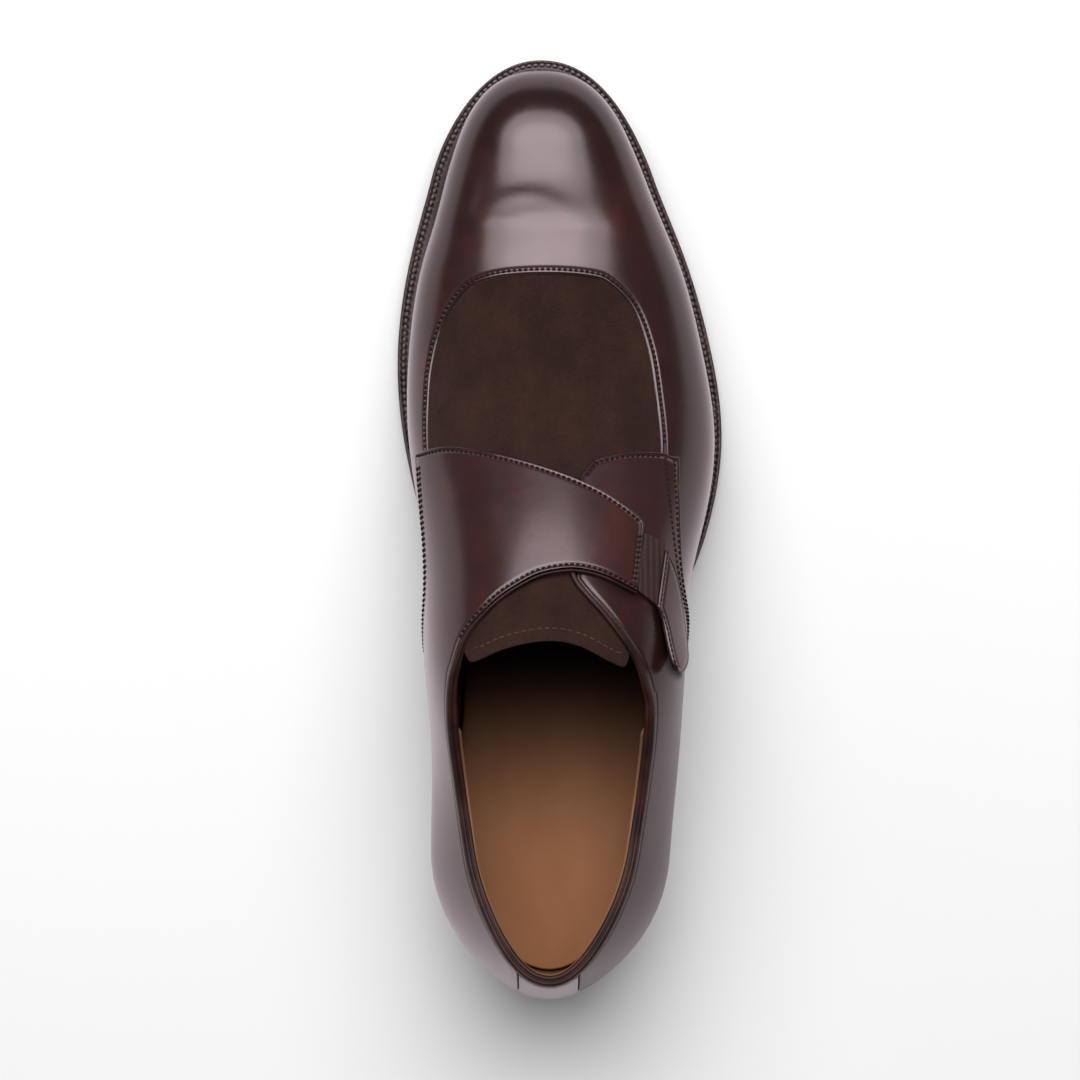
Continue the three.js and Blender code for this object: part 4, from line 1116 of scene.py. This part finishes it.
# Painted shade: the foot bed's colour goes near black towards the toe, which the upper shades.
feed(main, "Base Color", part.step(-0.118, -0.035).mix(colour, (0.008, 0.003, 0.002, 1)))
feed(main, "Roughness", noise(where, 150, 3) * 0.15 + 0.55)
bump(where, main, noise(where, 1500, 3), 0.00004)
INSOLE_RISE = 1.4
points, joined = plate(lambda at: at * 0 - WALL - GAP, lambda y: bottom(y) + SOLE + GAP,
                       lambda y: bottom(y) + SOLE_STACK + INSOLE_RISE, 0.5, 24)
build("foot_bed", points, joined, insole_leather, None, "insole")


# Heel: three lifts of stacked leather, waxed dark, with a fine groove at each joint, over a
# rubber top lift. All are cemented and nailed under the outsole.
BREAST_CURVE = 4


def heel_body(insets, heights):
    """Body of rings over the sole's rear outline, each with its own inset and height. The
    breast at its front is a parabola, hollow by BREAST_CURVE."""
    end = HEEL_LENGTH / LENGTH
    at = stations(0.8)[:56]
    at = np.append(at[at < end], end)
    rings = []
    for inset, height in zip(insets, heights):
        outer = on_last(at, 2.0, margin(at) - inset)[:, :2]
        inner = on_last(at, -2.0, margin(at) - inset)[:, :2]
        share = np.linspace(0, 1, 26)[1:-1, None]
        breast = outer[-1] + (inner[-1] - outer[-1]) * share
        breast[:, 1] -= (4 * BREAST_CURVE * share * (1 - share))[:, 0]
        plan = np.concatenate([outer, breast, inner[::-1][:-1]])
        rings.append(np.column_stack([plan, height(plan[:, 1])]))
    points = np.stack(rings)
    count, around = points.shape[:2]
    corner = np.arange(count * around).reshape(count, around)
    after = np.roll(corner, -1, axis=1)
    centres = points.mean(axis=1)
    low, high = corner[0], corner[-1]
    middle = count * around
    faces = np.concatenate([
        halves(corner[:-1], after[:-1], after[1:], corner[1:]),
        np.stack([np.roll(low, -1), low, low * 0 + middle], 1),
        np.stack([high, np.roll(high, -1), high * 0 + middle + 1], 1),
    ])
    return np.concatenate([points.reshape(-1, 3), centres[[0, -1]]]), faces


heel_leather, where, main = shader("heel_leather", 0.36)
main.inputs["Specular Tint"].default_value = (1.0, 0.84, 0.80, 1)
tone = noise(where, 80, 4, 0.6, (1, 1, 4)).step(0.3, 0.7)
feed(main, "Base Color", tone.mix((0.010, 0.006, 0.005, 1), (0.030, 0.017, 0.013, 1)))
bump(where, main, noise(where, 600, 3, 0.6, (1, 1, 5)), 0.0001)


LIFT = 6


def stack_height(share):
    """Height of a joint of the stack, from the top lift at 0 to the sole at 1."""
    return lambda y: LIFT + GAP + (bottom(y) - GAP - LIFT - GAP) * share


insets, heights = [2.4, 2.0], [stack_height(0), stack_height(0.02)]
for joint in (1 / 3, 2 / 3):
    for step, depth in ((-0.022, 0), (-0.011, 0.06), (0, 0.24), (0.011, 0.06), (0.022, 0)):
        insets.append(2 * (1 - joint) + depth)
        heights.append(stack_height(joint + step))
insets += [0.0, 0.3]
heights += [stack_height(0.98), stack_height(1)]
points, joined = heel_body(insets, heights)
build("heel_lifts", points, joined, heel_leather, None, "heel_stack")
rubber, where, main = shader("rubber", 0.75)
tone = noise(where, 150, 3).step(0.3, 0.7)
feed(main, "Base Color", tone.mix((0.008, 0.008, 0.008, 1), (0.020, 0.019, 0.018, 1)))
bump(where, main, noise(where, 1200, 3), 0.00015)
insets, heights = [2.6, 2.15, 2.0, 2.0, 2.15], [0, 0.2, 0.6, LIFT - 0.3, LIFT]
points, joined = heel_body(insets, [lambda y, height=height: y * 0 + height for height in heights])
build("rubber_lift", points, joined, rubber, None, "top_lift")


# Floor: a pale sheet that the shoe stands on, and the studio's soft lights. The two beyond the
# toe give the long glow on the vamp.
floor_paint, where, main = shader("floor_paint", 0.9)
main.inputs["Base Color"].default_value = (0.60, 0.60, 0.60, 1)
floor_mesh = bpy.data.meshes.new("floor")
floor_mesh.from_pydata([(-3, -3, 0), (3, -3, 0), (3, 3, 0), (-3, 3, 0)], [], [(0, 1, 2, 3)])
floor_mesh.materials.append(floor_paint)
floor = bpy.data.objects.new("floor", floor_mesh)
bpy.context.collection.objects.link(floor)


def softbox(name, at, aim, size, power):
    """A large oval light at a place, turned towards a point."""
    data = bpy.data.lights.new(name, "AREA")
    data.shape = "ELLIPSE"
    data.size, data.size_y = size
    data.energy = power
    made = bpy.data.objects.new(name, data)
    made.location = at
    away = np.array(at) - np.array(aim)
    made.rotation_euler = Vector(away).to_track_quat("Z", "Y").to_euler()
    bpy.context.collection.objects.link(made)


softbox("toe_box", (-0.03, 0.76, 1.42), (0, 0, 0.05), (2.2, 1.7), 48)
softbox("core_box", (-0.04, 0.64, 1.35), (0, 0, 0.05), (1.1, 0.85), 8)
softbox("left_box", (-1.6, -0.2, 1.0), (0, 0, 0.05), (1.4, 0.8), 2.2)
softbox("heel_box", (-0.4, -1.5, 1.0), (0, 0, 0.05), (1.2, 0.8), 1.5)
world = bpy.data.worlds.new("studio")
world.use_nodes = True
world.node_tree.nodes["Background"].inputs[0].default_value = (1.0, 0.93, 0.97, 1)
world.node_tree.nodes["Background"].inputs[1].default_value = 0.16
bpy.context.scene.world = world
bpy.context.scene.view_settings.view_transform = "Standard"
